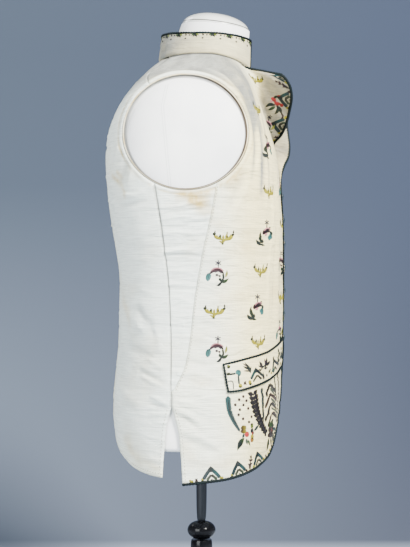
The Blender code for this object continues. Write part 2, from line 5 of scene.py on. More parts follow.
import bpy
import numpy as np
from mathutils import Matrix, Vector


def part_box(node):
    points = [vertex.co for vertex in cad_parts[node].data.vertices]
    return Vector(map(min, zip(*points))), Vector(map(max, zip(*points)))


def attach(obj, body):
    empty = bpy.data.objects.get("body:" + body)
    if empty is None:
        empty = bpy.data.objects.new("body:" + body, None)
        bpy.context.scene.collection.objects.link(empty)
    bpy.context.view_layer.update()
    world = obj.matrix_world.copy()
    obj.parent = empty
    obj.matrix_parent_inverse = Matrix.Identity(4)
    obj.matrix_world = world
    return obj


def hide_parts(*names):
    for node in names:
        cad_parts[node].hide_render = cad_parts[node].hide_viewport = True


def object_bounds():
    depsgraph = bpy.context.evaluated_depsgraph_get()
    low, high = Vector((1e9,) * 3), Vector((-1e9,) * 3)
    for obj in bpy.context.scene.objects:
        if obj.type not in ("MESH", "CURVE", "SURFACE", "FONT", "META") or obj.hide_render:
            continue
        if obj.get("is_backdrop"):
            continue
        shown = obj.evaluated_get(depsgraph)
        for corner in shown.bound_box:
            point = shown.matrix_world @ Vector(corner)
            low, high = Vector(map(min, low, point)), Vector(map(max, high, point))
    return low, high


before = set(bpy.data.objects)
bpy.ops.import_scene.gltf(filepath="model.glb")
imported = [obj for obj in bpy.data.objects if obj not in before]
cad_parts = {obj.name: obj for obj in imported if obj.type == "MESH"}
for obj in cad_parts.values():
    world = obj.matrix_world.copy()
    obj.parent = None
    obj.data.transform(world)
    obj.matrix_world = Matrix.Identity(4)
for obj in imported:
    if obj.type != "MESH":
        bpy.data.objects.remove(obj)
solid_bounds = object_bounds()

# ---- Foot, column and ball of the stand ----
# Turned wood under black lacquer, rubbed down between coats, so its gloss is broken by a little dust.
# The ball is screwed to the column and the column to the round foot.

MM = 0.001
BODY = "root"


def srgb(*screen):
    """A screen colour, 0 to 255, as the linear colour that a shader takes."""
    screen = np.array(screen) / 255
    linear = np.where(screen <= 0.04045, screen / 12.92, ((screen + 0.055) / 1.055) ** 2.4)
    return *map(float, linear), 1.0


class Recipe:
    """A shader tree being put together. A value given to a node may be another node's output."""

    def __init__(self, tree):
        self.tree = tree

    def feed(self, made, sockets):
        for socket, value in sockets.items():
            if isinstance(value, bpy.types.NodeSocket):
                self.tree.links.new(value, made.inputs[socket])
            else:
                made.inputs[socket].default_value = value
        return made.outputs

    def add(self, kind, sockets, **settings):
        """A new node's outputs."""
        made = self.tree.nodes.new("ShaderNode" + kind)
        for name, value in settings.items():
            setattr(made, name, value)
        return self.feed(made, sockets)

    def maths(self, operation, first, second=0.0):
        return self.add("Math", {0: first, 1: second}, operation=operation)[0]

    def plus(self, first, second):
        return self.maths("ADD", first, second)

    def minus(self, first, second):
        return self.maths("SUBTRACT", first, second)

    def times(self, first, second):
        return self.maths("MULTIPLY", first, second)

    def ranged(self, value, low, high, to_low=0.0, to_high=1.0):
        return self.add("MapRange", {0: value, 1: low, 2: high, 3: to_low, 4: to_high})[0]

    def mixed(self, share, first, second, blend="MIX"):
        """Two colours mixed by a share."""
        return self.add("Mix", {0: share, 6: first, 7: second}, data_type="RGBA", blend_type=blend)[2]

    def toned(self, colour, light):
        """A colour made lighter or darker."""
        grey = self.add("CombineColor", {0: light, 1: light, 2: light})[0]
        return self.mixed(1.0, colour, grey, "MULTIPLY")

    def place(self, kind="Object"):
        return self.add("TexCoord", {})[kind]

    def painted(self, name):
        """The colour that a mesh carries at each of its points."""
        return self.add("Attribute", {}, attribute_name=name)["Color"]

    def split(self, place):
        return self.add("SeparateXYZ", {0: place})

    def stretched(self, place, scale, shift=(0.0, 0.0, 0.0)):
        return self.add("Mapping", {"Vector": place, "Location": shift, "Scale": scale})[0]

    def noise(self, place, scale, detail, **more):
        return self.add("TexNoise", {"Vector": place, "Scale": scale, "Detail": detail, **more})[0]

    def bump(self, height, distance, strength=1.0, **under):
        """A surface normal raised by a height; the normal of another bump may lie under it."""
        return self.add("Bump", {"Height": height, "Distance": distance, "Strength": strength, **under})[0]

    def group(self, group, **sockets):
        return self.add("Group", sockets, node_tree=group.tree)


def new_group(name, inputs, outputs):
    """An empty node group with named sockets: its recipe, what it is given, and what it puts out."""
    made = bpy.data.node_groups.new(name, "ShaderNodeTree")
    for way, sockets in (("INPUT", inputs), ("OUTPUT", outputs)):
        for label, kind in sockets.items():
            made.interface.new_socket(label, in_out=way, socket_type="NodeSocket" + kind)
    return Recipe(made), made.nodes.new("NodeGroupInput").outputs, made.nodes.new("NodeGroupOutput")


class Finish(Recipe):
    """A material. What is the same all over it is set on its shader at the start, the rest at the end."""

    def __init__(self, name, **values):
        self.material = bpy.data.materials.new(name)
        self.material.use_nodes = True
        super().__init__(self.material.node_tree)
        self.given(**values)

    def given(self, **values):
        shader = self.tree.nodes["Principled BSDF"]
        self.feed(shader, {socket.replace("_", " "): value for socket, value in values.items()})
        return self.material


# Cloudy dust with small specks, mixed into a colour and a roughness
dust, given, result = new_group(
    "dust", {"Vector": "Vector", "Clean": "Color", "Dust": "Color", "Amount": "Float", "Roughness": "Float"},
    {"Color": "Color", "Roughness": "Float"})
clouds = dust.ranged(dust.noise(given["Vector"], 24.0, 5.0), 0.45, 0.8)
specks = dust.ranged(dust.noise(given["Vector"], 900.0, 1.0), 0.66, 0.74)
mask = dust.times(dust.maths("MAXIMUM", specks, clouds), given["Amount"])
dust.feed(result, {"Color": dust.mixed(mask, given["Clean"], given["Dust"]),
                   "Roughness": dust.plus(given["Roughness"], dust.times(mask, 0.5))})

LACQUER, LACQUER_DUST = srgb(7, 7, 9), srgb(74, 74, 78)

lacquer = Finish("black_lacquer", Coat_Weight=0.04, Coat_Roughness=0.06, Specular_IOR_Level=0.12)
place = lacquer.place()
dusty = lacquer.group(dust, Vector=place, Clean=LACQUER, Dust=LACQUER_DUST, Amount=0.16, Roughness=0.17)
rubbed = lacquer.bump(lacquer.noise(place, 160.0, 3.0), 0.0001, 0.3)
BLACK = lacquer.given(Base_Color=dusty["Color"], Roughness=dusty["Roughness"], Normal=rubbed)


def fitted(piece, slot, *stands_for):
    """The piece rides on the body and stands for these nodes; the slot is not used."""
    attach(piece, BODY)
    if stands_for:
        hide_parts(*stands_for)
    return piece


def refined(name, cad_node, material, slot, crease, levels=2):
    """A copy of a node, merged back into one skin, drawn as quads and rounded; edges sharper than
    `crease` degrees stay sharp. It stands for the node."""
    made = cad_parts[cad_node].copy()
    made.data = made.data.copy()
    made.name = made.data.name = name
    for key in list(made.keys()):
        del made[key]
    bpy.context.scene.collection.objects.link(made)
    made.parent = None
    made.hide_render = made.hide_viewport = False
    bpy.ops.object.select_all(action="DESELECT")
    made.select_set(True)
    bpy.context.view_layer.objects.active = made
    bpy.ops.object.mode_set(mode="EDIT")
    bpy.ops.mesh.customdata_custom_splitnormals_clear()
    bpy.ops.mesh.select_all(action="SELECT")
    bpy.ops.mesh.remove_doubles(threshold=0.05 * MM)
    bpy.ops.mesh.tris_convert_to_quads(face_threshold=math.radians(60), shape_threshold=math.radians(60))
    bpy.ops.mesh.select_all(action="DESELECT")
    bpy.ops.mesh.select_mode(type="EDGE")
    bpy.ops.mesh.edges_select_sharp(sharpness=math.radians(crease))
    bpy.ops.transform.edge_crease(value=1.0)
    bpy.ops.object.mode_set(mode="OBJECT")
    rounding = made.modifiers.new("Rounding", "SUBSURF")
    rounding.levels = rounding.render_levels = levels
    bpy.ops.object.modifier_apply(modifier=rounding.name)
    bpy.ops.object.shade_smooth_by_angle(angle=math.radians(crease))
    made.data.materials.clear()
    made.data.materials.append(material)
    return fitted(made, slot, cad_node)


for part, crease in (("base", 35), ("column", 35), ("knob", 180)):
    refined("turned_" + part, "stand_" + part, BLACK, "black_lacquer", crease)

# ---- Pole ----
# Drawn steel tube, brushed lengthways, dull grey with darker streaks where hands have slid it.
# It drops into the ball and carries the form.

STEEL, STEEL_STREAK = srgb(38, 40, 44), srgb(18, 20, 24)

steel = Finish("brushed_steel", Metallic=0.6, Anisotropic=0.4)
streaks = steel.noise(steel.stretched(steel.place(), (420.0, 420.0, 5.0)), 1.0, 4.0)
BRUSHED = steel.given(Base_Color=steel.mixed(steel.ranged(streaks, 0.35, 0.7), STEEL, STEEL_STREAK),
                      Roughness=steel.ranged(streaks, 0.2, 0.8, 0.28, 0.5),
                      Normal=steel.bump(streaks, 0.00015, 0.5))
refined("steel_pole", "stand_pole", BRUSHED, "steel", 35)

# ---- Dress form ----
# A moulded shell padded thin and covered with white cotton jersey, stretched and sewn over the body,
# the neck and a domed plate at each arm. The knit shows as a fine rib, with a little soiling.

SIDES = ("right", "left")
JERSEY, JERSEY_SHADE, JERSEY_SEAM_AND_SHADE = srgb(238, 238, 234), srgb(214, 215, 214), srgb(176, 178, 176)
RIB_PITCH, LOOP_PITCH = 0.9, 0.7
GAP_DARK = srgb(70, 56, 40)  # the form just inside the armhole, where no light reaches
ARMHOLE_CENTRE, ARMHOLE_RADII = (22, 729), (89, 83)  # depth and height, seen from the side
PLATE_SEAM_BEND = (56.0, 764.0)
PLATE_SEAM_SLOPES = (0.094, -0.2)  # how far it moves back for each millimetre up, below and above the bend
PLATE_SEAM_APART, PLATE_SEAM_EDGES = 3.2, (0.9 * MM, 0.2 * MM)

# Ribs and loops of a fine jersey as a height, and slow cloudy soiling as a mask
knit, given, result = new_group("knit", {"Vector": "Vector", "Rib": "Float", "Loop": "Float"},
                                {"Height": "Float", "Soil": "Float"})
x, y, z = knit.split(given["Vector"])
ribs = knit.maths("SINE", knit.times(knit.plus(x, y), given["Rib"]))
loops = knit.maths("SINE", knit.times(z, given["Loop"]))
knit.feed(result, {"Height": knit.plus(ribs, loops),
                   "Soil": knit.ranged(knit.noise(given["Vector"], 9.0, 5.0), 0.4, 0.75)})

# How far out of an armhole's middle a place lies, as a share of the armhole's radius
armhole_share, given, result = new_group("armhole_share", {"Vector": "Vector"}, {"Share": "Float"})
in_radii = armhole_share.stretched(
    given["Vector"], (0.0, *(1 / radius / MM for radius in ARMHOLE_RADII)),
    (0.0, *(-middle / radius for middle, radius in zip(ARMHOLE_CENTRE, ARMHOLE_RADII))))
length = armhole_share.add("VectorMath", {0: in_radii}, operation="LENGTH")["Value"]
armhole_share.feed(result, {"Share": length})


def plate_seam(made, depth, height):
    """A mask for the twin stitched lines that slant down an arm plate, each a bend at the same height."""
    over = made.minus(height, PLATE_SEAM_BEND[1] * MM)
    low = made.times(made.maths("MINIMUM", over), PLATE_SEAM_SLOPES[0])
    high = made.times(made.maths("MAXIMUM", over), PLATE_SEAM_SLOPES[1])
    away = made.minus(made.minus(depth, made.plus(low, high)), PLATE_SEAM_BEND[0] * MM)
    lines = [made.ranged(made.maths("ABSOLUTE", made.plus(away, shift * MM)), *PLATE_SEAM_EDGES)
             for shift in (0.0, PLATE_SEAM_APART)]
    return made.maths("MAXIMUM", *lines)


def jersey(name, on_plate):
    made = Finish(name, Sheen_Weight=0.25, Sheen_Roughness=0.5)
    full_turn = 2 * math.pi / MM
    place = made.place()
    knitted = made.group(knit, Vector=place, Rib=full_turn / RIB_PITCH, Loop=full_turn / LOOP_PITCH)
    colour = made.mixed(knitted["Soil"], JERSEY, JERSEY_SHADE)
    relief = knitted["Height"]
    share = made.group(armhole_share, Vector=place)["Share"]
    _, depth, height = made.split(place)
    if on_plate:
        seam = plate_seam(made, depth, height)
        colour = made.mixed(made.times(seam, 0.5), colour, JERSEY_SEAM_AND_SHADE)
        relief = made.plus(relief, made.times(seam, -4.0))
        # painted shade: a grey band along the plate's upper rim, under the armhole's edge
        rim = made.times(made.ranged(share, 0.9, 0.96), made.ranged(height, 0.7, 0.78))
        colour = made.mixed(made.times(rim, 0.5), colour, JERSEY_SEAM_AND_SHADE)
    else:
        ring = made.times(made.ranged(share, 0.93, 0.955), made.ranged(share, 1.06, 1.03))
        forward = made.ranged(depth, 0.07, -0.03, 0.25, 1.0)
        colour = made.mixed(made.times(ring, forward), colour, GAP_DARK)
    return made.given(Base_Color=colour, Roughness=made.ranged(knitted["Soil"], 0.0, 1.0, 0.8, 0.92),
                      Normal=made.bump(relief, 0.00006, 0.4))


refined("jersey_form", "form_body", jersey("white_jersey", False), "form_cloth", 60)
PLATE_JERSEY = jersey("arm_plate_jersey", True)
for side in SIDES:
    refined("jersey_arm_plate_" + side, "arm_plate_" + side, PLATE_JERSEY, "form_cloth", 60)

# ---- Neck cap ----
# A shallow dome of moulded white plastic, polished, pressed into the top of the neck.

CAP_WHITE, CAP_YELLOWED, CAP_JOINT_DARK = srgb(196, 198, 194), srgb(170, 170, 160), srgb(60, 56, 48)
CAP_RIM = 900.2  # the height of its rim's plane over the pole, which rises towards the back
CAP_TILT = 0.1275
CAP_JOINT = (2.6, 3.8)  # the dark joint between its rim and its dome, as heights over the rim
CAP_JOINT_SOFT = 0.4

gloss = Finish("white_gloss", Coat_Weight=0.6, Coat_Roughness=0.08)
place = gloss.place()
dusty = gloss.group(dust, Vector=place, Clean=CAP_WHITE, Dust=CAP_YELLOWED, Amount=0.6, Roughness=0.16)
_, depth, height = gloss.split(place)
over = gloss.minus(height, gloss.times(depth, CAP_TILT))
low, high = ((CAP_RIM + edge) * MM for edge in CAP_JOINT)
joint = gloss.times(gloss.ranged(over, low - CAP_JOINT_SOFT * MM, low),
                    gloss.ranged(over, high + CAP_JOINT_SOFT * MM, high))
GLOSS = gloss.given(Base_Color=gloss.mixed(joint, dusty["Color"], CAP_JOINT_DARK),
                    Roughness=dusty["Roughness"])
refined("gloss_neck_cap", "neck_cap", GLOSS, "neck_gloss", 50)

# ---- Back ----
# Plain white linen-cotton in two halves seamed down the centre, hemmed at the foot and along the slits.
# The waist and hips are rumpled, and the cloth is stained where it has rubbed and been stored.

WALL = 1.6  # cloth and lining
EDGE_THIN = 0.4  # the wall's share at its very edge, where the cloth is turned under
SEAM_GAP = 0.4
SECTION_NAMES = ("side_z", "front_z", "back_z", "half_width", "front_y", "back_y", "centre_y",
                 "front_square", "back_square")
SECTIONS = (
    (225, 225, 225, 170, -108.5, 110.5, 8, 2.3, 2.5),
    (250, 250, 250, 170, -110.5, 116.5, 8, 2.3, 2.5),
    (285, 285, 285, 169, -113.5, 125.5, 8, 2.3, 2.5),
    (316, 316, 316, 167, -114.5, 129.5, 8, 2.3, 2.5),
    (350, 350, 350, 165, -116, 128.5, 8, 2.3, 2.5),
    (390, 390, 390, 160, -117, 125.5, 8, 2.3, 2.5),
    (433, 433, 433, 154, -118, 121.5, 8, 2.3, 2.5),
    (480, 480, 480, 149, -119, 120, 8, 2.3, 2.5),
    (530, 530, 530, 148, -119.5, 121, 8, 2.3, 2.5),
    (567, 567, 567, 150, -119.5, 125.5, 9, 2.3, 2.6),
    (606, 606, 606, 154, -118.5, 131.5, 10, 2.4, 2.8),
    (642, 642, 642, 158, -116.5, 136.5, 12, 2.4, 3.0),
    (680, 678, 680, 158, -113.5, 139, 14, 2.5, 3.2),
    (720, 708, 714, 155, -108, 138, 15, 2.6, 3.3),
    (760, 738, 745, 151, -99.5, 131, 16, 2.6, 3.3),
    (792, 764, 773, 146, -90.5, 117.5, 16, 2.6, 3.1),
    (811, 785, 796, 136, -83.5, 102.5, 14, 2.5, 2.8),
    (824, 802, 815, 115, -78.5, 89.5, 9, 2.4, 2.6),
    (837, 819, 831, 90, -73.5, 76.5, 2, 2.3, 2.4),
    (849, 833, 845, 65, -68.5, 60.5, -4, 2.2, 2.3),
)

# Seams and edges as depth and height, seen from the side; the armhole's points as degrees round it
SIDE_SEAM_CLOCK, GUSSET_CLOCK, SHOULDER_SEAM_CLOCK = -61, -119, 55
SHOULDER_SEAM_ANGLE = 140
SLIT_TOP, GUSSET_TIP_BACK, GUSSET_TIP_FRONT = (41, 345), (41, 366), (37.5, 368)
SIDE_SEAM = (GUSSET_TIP_BACK, (41.5, 440), (45, 511), (51, 562), (59, 620))
SLIT_BACK_EDGE = ((54, 246), (51.5, 286), (48, 320), SLIT_TOP)
BACK_HEM = ((114, 249), (124, 255), (136, 265), (148, 275), (163, 284), (180, 287))  # degrees, height
WAIST = 600

# Each net's steps to a stretch, down and across, and how many stretches some edges have
BACK_SPLITS = (10, 8)
SLIT_STEPS, SEAM_STEPS, BACK_ARM_STEPS = 4, 9, 10
SHOULDER_STEPS, NECK_BACK_STEPS = 5, 4
MM_PER_DEGREE = 2.6
ROUGH_PASSES, FINE_PASSES = 300, 90
EVENING_PACE = 0.7


def spline(at, knots, values):
    """Smooth curve through the knots, with slopes taken from each knot's neighbours."""
    knots, values = np.asarray(knots, float), np.asarray(values, float)
    at = np.clip(at, knots[0], knots[-1])
    slopes = np.gradient(values, knots)
    low = np.clip(np.searchsorted(knots, at) - 1, 0, len(knots) - 2)
    span = knots[low + 1] - knots[low]
    t = (at - knots[low]) / span
    start = (1 + 2 * t) * (1 - t) ** 2 * values[low] + t * (1 - t) ** 2 * span * slopes[low]
    end = t**2 * (3 - 2 * t) * values[low + 1] + t**2 * (t - 1) * span * slopes[low + 1]
    return start + end


def read_off(at, run, line, curve=np.interp):
    """The points of a line at these places of its run, straight or on a curve between its own points."""
    return np.stack([curve(at, run, column) for column in line.T], axis=-1)


def reached(steps):
    """How far along a line each of its points is."""
    return np.concatenate([[0], np.cumsum(np.linalg.norm(steps, axis=-1))])


# Distance up the cloth of each section, the mean of its front, side and back
COLUMNS = dict(zip(SECTION_NAMES, np.array(SECTIONS, float).T))
steps = [np.hypot(np.diff(COLUMNS[height]), np.diff(COLUMNS[reach]))
         for height, reach in (("front_z", "front_y"), ("side_z", "half_width"), ("back_z", "back_y"))]
UPS = COLUMNS["side_z"][0] + np.concatenate([[0], np.cumsum(sum(steps) / 3)])
NECK = UPS[-1]


def section(name, up):
    return spline(up, UPS, COLUMNS[name])


def up_at(name, height):
    return np.interp(height, COLUMNS[name], UPS)


def skin(angle, up):
    """Point of the cloth's inner face: degrees round from the centre front, millimetres up the cloth."""
    angle, up = np.broadcast_arrays(np.asarray(angle, float), np.asarray(up, float))
    cos, sin = np.cos(np.radians(angle)), np.sin(np.radians(angle))
    ahead = cos > 0
    half, centre = section("half_width", up), section("centre_y", up)
    reach = np.where(ahead, centre - section("front_y", up), section("back_y", up) - centre)
    square = np.where(ahead, section("front_square", up), section("back_square", up))
    radius = ((np.abs(sin) / half) ** square + (np.abs(cos) / reach) ** square) ** (-1 / square)
    side_z = section("side_z", up)
    end_z = np.where(ahead, section("front_z", up), section("back_z", up))
    return np.stack([-radius * sin, centre - radius * cos, side_z + (end_z - side_z) * cos**2], axis=-1)


def unit(vectors):
    return vectors / np.linalg.norm(vectors, axis=-1, keepdims=True)


def outward(angle, up):
    """Unit normal of the skin, away from the body."""
    up = np.clip(up, UPS[0] + 1, NECK - 1)
    around = skin(angle + 0.5, up) - skin(angle - 0.5, up)
    return unit(np.cross(skin(angle, up + 0.5) - skin(angle, up - 0.5), around))


def mm_per_degree(angle, up):
    return np.linalg.norm(skin(angle + 0.5, up) - skin(angle - 0.5, up), axis=-1)


SEEN_ANGLES, SEEN_UPS = np.meshgrid(np.linspace(2, 178, 89), np.linspace(UPS[0], NECK, 120))
SEEN_NET = skin(SEEN_ANGLES, SEEN_UPS)
SEEN_TRIES, SEEN_NUDGE, SEEN_STRIDE = 8, 0.1, 8


def seen_at(depth, height):
    """(angle, up) of the point that the right-hand side view shows at this depth and height."""
    nearest = np.argmin((SEEN_NET[..., 1] - depth) ** 2 + (SEEN_NET[..., 2] - height) ** 2)
    place = np.array([SEEN_ANGLES.flat[nearest], SEEN_UPS.flat[nearest]])
    for _ in range(SEEN_TRIES):
        here = skin(*place)[1:]
        slopes = [(skin(*(place + nudge))[1:] - here) / SEEN_NUDGE for nudge in SEEN_NUDGE * np.eye(2)]
        step = np.linalg.lstsq(np.transpose(slopes), (depth, height) - here, rcond=None)[0]
        place = place + np.clip(step, -SEEN_STRIDE, SEEN_STRIDE)
        place[1] = min(place[1], NECK)
    return place


def side_points(points):
    return np.array([seen_at(*point) for point in points])


def crossing_points(points):
    """Points given as degrees and height; below the arms every height is the same all round."""
    points = np.array(points, float)
    return np.stack([points[:, 0], up_at("front_z", points[:, 1])], axis=1)


def trace(count, *parts):
    """`count` even steps along a smooth curve through (angle, up) points, given in one part or more."""
    points = np.concatenate(parts).astype(float)
    knots = reached(np.diff(skin(*points.T), axis=0))
    curve = read_off(np.linspace(0, knots[-1], 20 * count + 1), knots, points, spline)
    run = reached(np.diff(skin(*curve.T), axis=0))
    return read_off(np.linspace(0, run[-1], count + 1), run, curve)


def join(*stretches):
    """Stretches that end where the next one starts, as one run of points."""
    return np.concatenate([stretches[0]] + [stretch[1:] for stretch in stretches[1:]])


def armhole_arc(start, end, count):
    turns = np.radians(np.linspace(start, end, count + 1))
    ways = np.stack([np.cos(turns), np.sin(turns)], axis=1)
    return side_points(ARMHOLE_CENTRE + np.array(ARMHOLE_RADII) * ways)


def evened(net, passes):
    """The net's inner points moved until its lines run evenly and none cross."""
    net = net * (MM_PER_DEGREE, 1)
    for _ in range(passes):
        across = (net[1:-1, 2:] - net[1:-1, :-2]) / 2
        higher = (net[2:, 1:-1] - net[:-2, 1:-1]) / 2
        wide = np.sum(across**2, axis=-1, keepdims=True)
        tall = np.sum(higher**2, axis=-1, keepdims=True)
        slant = np.sum(across * higher, axis=-1, keepdims=True)
        diagonal = (net[2:, 2:] - net[:-2, 2:] - net[2:, :-2] + net[:-2, :-2]) / 4
        beside, above = net[1:-1, 2:] + net[1:-1, :-2], net[2:, 1:-1] + net[:-2, 1:-1]
        target = (tall * beside + wide * above - 2 * slant * diagonal) / (2 * (tall + wide))
        net[1:-1, 1:-1] += EVENING_PACE * (target - net[1:-1, 1:-1])
    return net / (MM_PER_DEGREE, 1)


def drawn_finer(net, splits):
    """Each step between the net's rows split up."""
    share = np.arange(splits)[None, :, None, None] / splits
    steps = net[:-1, None] * (1 - share) + net[1:, None] * share
    return np.concatenate([steps.reshape(-1, *net.shape[1:]), net[-1:]])


def patch(left, right, bottom, top, splits):
    """Four-sided net between its sides, laid out at every few points first and then finer."""
    rows, columns = splits
    sides = left[::rows], right[::rows], bottom[::columns], top[::columns]
    s = np.linspace(0, 1, len(sides[2]))[None, :, None]
    t = np.linspace(0, 1, len(sides[0]))[:, None, None]
    net = (1 - s) * sides[0][:, None] + s * sides[1][:, None] + (1 - t) * sides[2][None] + t * sides[3][None]
    net -= (1 - t) * ((1 - s) * bottom[0] + s * bottom[-1]) + t * ((1 - s) * top[0] + s * top[-1])
    net = drawn_finer(evened(net, ROUGH_PASSES), rows)
    net = drawn_finer(net.swapaxes(0, 1), columns).swapaxes(0, 1)
    net[:, 0], net[:, -1], net[0], net[-1] = left, right, bottom, top
    return evened(net, FINE_PASSES)


def rising(value, start, width):
    """Softly from 0 to 1 as the value goes up over this width."""
    share = np.clip((value - start) / width, 0, 1)
    return share**2 * (3 - 2 * share)


def falling(value, end, width):
    """Softly from 1 to 0 as the value goes up to the end of this width."""
    share = np.clip((end - value) / width, 0, 1)
    return share**2 * (3 - 2 * share)


# Main creases of the right side and, mirrored, of the left: half width and rise, then the points as depth
# and height seen from the side. A trough has a negative rise.
SIDE_CREASES = (
    (5, -1.5, 92, 486, 72, 460, 58, 432),
    (5, 1.1, 84, 478, 64, 448, 54, 420),
    (6, 0.9, 112, 484, 92, 462, 78, 444),
    (3.2, -1.1, 88, 396, 66, 384, 50, 376),
    (3, 0.9, 84, 388, 64, 377, 48, 371),
    (3, 0.7, 76, 412, 60, 402, 49, 393),
    (2.6, -0.9, 74, 350, 58, 345, 45, 342),
    (2.4, 0.8, 70, 360, 56, 353, 45, 347),
    (2.4, 0.6, 72, 334, 58, 334, 47, 338),
    (6, -0.8, 104, 430, 84, 418, 66, 412),
    (7, 0.8, 118, 370, 98, 352, 80, 342),
    (3, 0.9, 36, 340, 22, 336, 4, 326),
    (3, -0.9, 36, 334, 20, 328, 2, 314),
    (3.4, 0.7, 34, 350, 18, 350, -4, 344),
    (4, 0.8, 30, 312, 8, 306, -20, 292),
    (4, -0.8, 28, 302, 6, 294, -24, 282),
    (4.5, 0.6, 26, 276, 0, 270, -30, 268),
    (3.4, 0.7, 34, 388, 16, 392, -12, 388),
    (3, -0.6, 34, 404, 14, 408, -10, 402),
    (3, 0.6, 30, 436, 10, 442, -16, 440),
    (3.2, -0.6, 24, 458, 4, 462, -22, 456),
    (2, 0.7, 60, 622, 36, 624, 4, 630, -16, 634),
    (1.8, -0.6, 58, 615, 34, 616, 2, 621, -20, 626),
    (2, 0.6, 57, 606, 36, 609, 12, 610),
    (2, -0.6, 56, 596, 30, 596, 0, 602, -24, 606),
    (2.2, 0.7, 55, 585, 36, 588, 10, 586, -10, 588),
    (2, -0.5, 54, 573, 30, 572, 4, 576),
    (2.2, 0.6, 53, 562, 34, 564, 8, 561, -14, 564),
    (2.2, -0.5, 51, 546, 30, 544, 6, 548),
    (2.4, 0.6, 50, 532, 32, 534, 10, 531),
    (2.2, -0.5, 48, 512, 30, 510, 12, 513),
    (2.4, 0.5, 46, 494, 32, 496, 14, 492),
    (2.2, 0.5, 44, 470, 32, 468, 16, 471),
    (2, -0.4, 44, 444, 32, 446, 20, 443),
    (2.4, 1.2, -18, 652, -34, 658, -52, 668),
    (2.4, -1, -24, 646, -42, 650, -62, 656),
    (3, 0.8, -30, 638, -50, 640, -70, 646),
    (2.4, 0.9, -34, 662, -50, 672, -60, 686),
    (4, -0.9, -62, 672, -50, 652, -38, 622),
    (4, 0.8, -68, 660, -56, 636, -42, 604),
    (4, 0.8, 84, 690, 96, 676, 104, 654),
    (4.5, -0.8, 92, 700, 106, 682, 116, 654),
    (4.5, 0.8, 98, 730, 112, 716, 122, 694),
    (3, 0.7, 76, 646, 92, 640, 112, 642),
    (3, -0.7, 74, 634, 92, 628, 116, 628),
)

# Long soft folds of the chest, round the armhole and on to the front edge's gathers
CHEST_FOLDS = (
    (3.6, 1.3, -7, 832, -30, 824, -54, 804, -68, 776, -77, 742, -81, 704, -78, 668),
    (2.8, -1.3, -12, 826, -36, 814, -56, 790, -69, 758, -76, 722, -75, 684),
    (3, 1.1, -6, 820, -32, 806, -52, 782, -64, 750, -69, 716, -68, 688),
    (2.4, -0.8, -40, 794, -55, 768, -62, 736, -63, 706),
    (3.2, -1.1, -56, 812, -66, 794, -76, 766, -85, 732, -88, 700, -88, 660),
    (2.8, 1, -60, 806, -72, 778, -83, 744, -90, 708, -92, 664, -92, 616),
    (4, 0.9, 20, 836, 40, 834, 60, 824),
    (3, -0.8, 14, 830, 36, 827, 62, 815),
)
EDGE_GATHERS = (  # degrees and height
    (2.2, 1.2, 41, 680, 40, 620, 43, 540, 44, 460),
    (2, -1.2, 36, 690, 35, 600, 37, 520, 39, 450),
    (2, 1.2, 31, 684, 30, 610, 31, 530, 33, 446),
    (2, -1.1, 26, 676, 24, 600, 26, 510, 27, 440),
    (2, 1.1, 21, 660, 19, 590, 20, 500, 22, 440),
    (2, -1, 15, 650, 13, 570, 14, 480, 16, 430),
)
# Short creases along the weft, scattered: the stretch of cloth in degrees and up it, and how many
FINE_SEED = 11
FINE_STRETCHES = {"front": ((4, 92), (245, 780), 210), "gusset": ((70, 112), (370, 660), 90),
                  "back": ((80, 280), (250, 820), 330)}
FINE_HALF_LENGTH, FINE_TILT, FINE_WIDTH, FINE_RISE = (5, 17), 2.5, (1.3, 2.4), (0.4, 1.2)


def creased(rows, points=side_points):
    """Rows of half width, rise and points, the points laid on the cloth."""
    return [(points(np.reshape(places, (-1, 2))), width, rise) for width, rise, *places in rows]


def fine_rows(angles, ups, count, seed):
    dice = np.random.default_rng(seed)
    rows = []
    for _ in range(count):
        angle, up = dice.uniform(*angles), dice.uniform(*ups)
        half, tilt = dice.uniform(*FINE_HALF_LENGTH), dice.normal(0, FINE_TILT)
        points = (angle - half, up - tilt), (angle, up + dice.normal(0, 1)), (angle + half, up + tilt)
        width = dice.uniform(*FINE_WIDTH)
        rows.append((np.array(points), width, dice.choice((-1, 1)) * dice.uniform(*FINE_RISE)))
    return rows


def crease_height(rows, angle, up):
    """What the creases add to the cloth's height, fading out at their ends."""
    spot = np.stack([angle * MM_PER_DEGREE, up], axis=-1)
    total = np.zeros(spot.shape[:-1])
    for points, width, rise in rows:
        line = points * (MM_PER_DEGREE, 1)
        far = 4 * width
        close = ((spot > line.min(axis=0) - far) & (spot < line.max(axis=0) + far)).all(axis=-1)
        if not close.any():
            continue
        here = spot[close]
        stops = reached(np.diff(line, axis=0))
        nearest = np.full(len(here), np.inf)
        share = np.zeros(len(here))
        for start, end, before in zip(line[:-1], line[1:], stops):
            step = end - start
            length = np.linalg.norm(step)
            t = np.clip((here - start) @ step / length**2, 0, 1)
            distance = np.linalg.norm(here - start - t[:, None] * step, axis=-1)
            closer = distance < nearest
            nearest = np.where(closer, distance, nearest)
            share = np.where(closer, (before + t * length) / stops[-1], share)
        total[close] += rise * np.sqrt(np.sin(np.pi * share).clip(0)) * np.exp(-(nearest / width) ** 2)
    return total


CHEST_ROWS = creased(CHEST_FOLDS)
MAIN_CREASES = creased(SIDE_CREASES) + CHEST_ROWS + creased(EDGE_GATHERS, crossing_points)
FINE_CREASES = {piece: fine_rows(*stretch, FINE_SEED + count)
                for count, (piece, stretch) in enumerate(FINE_STRETCHES.items())}

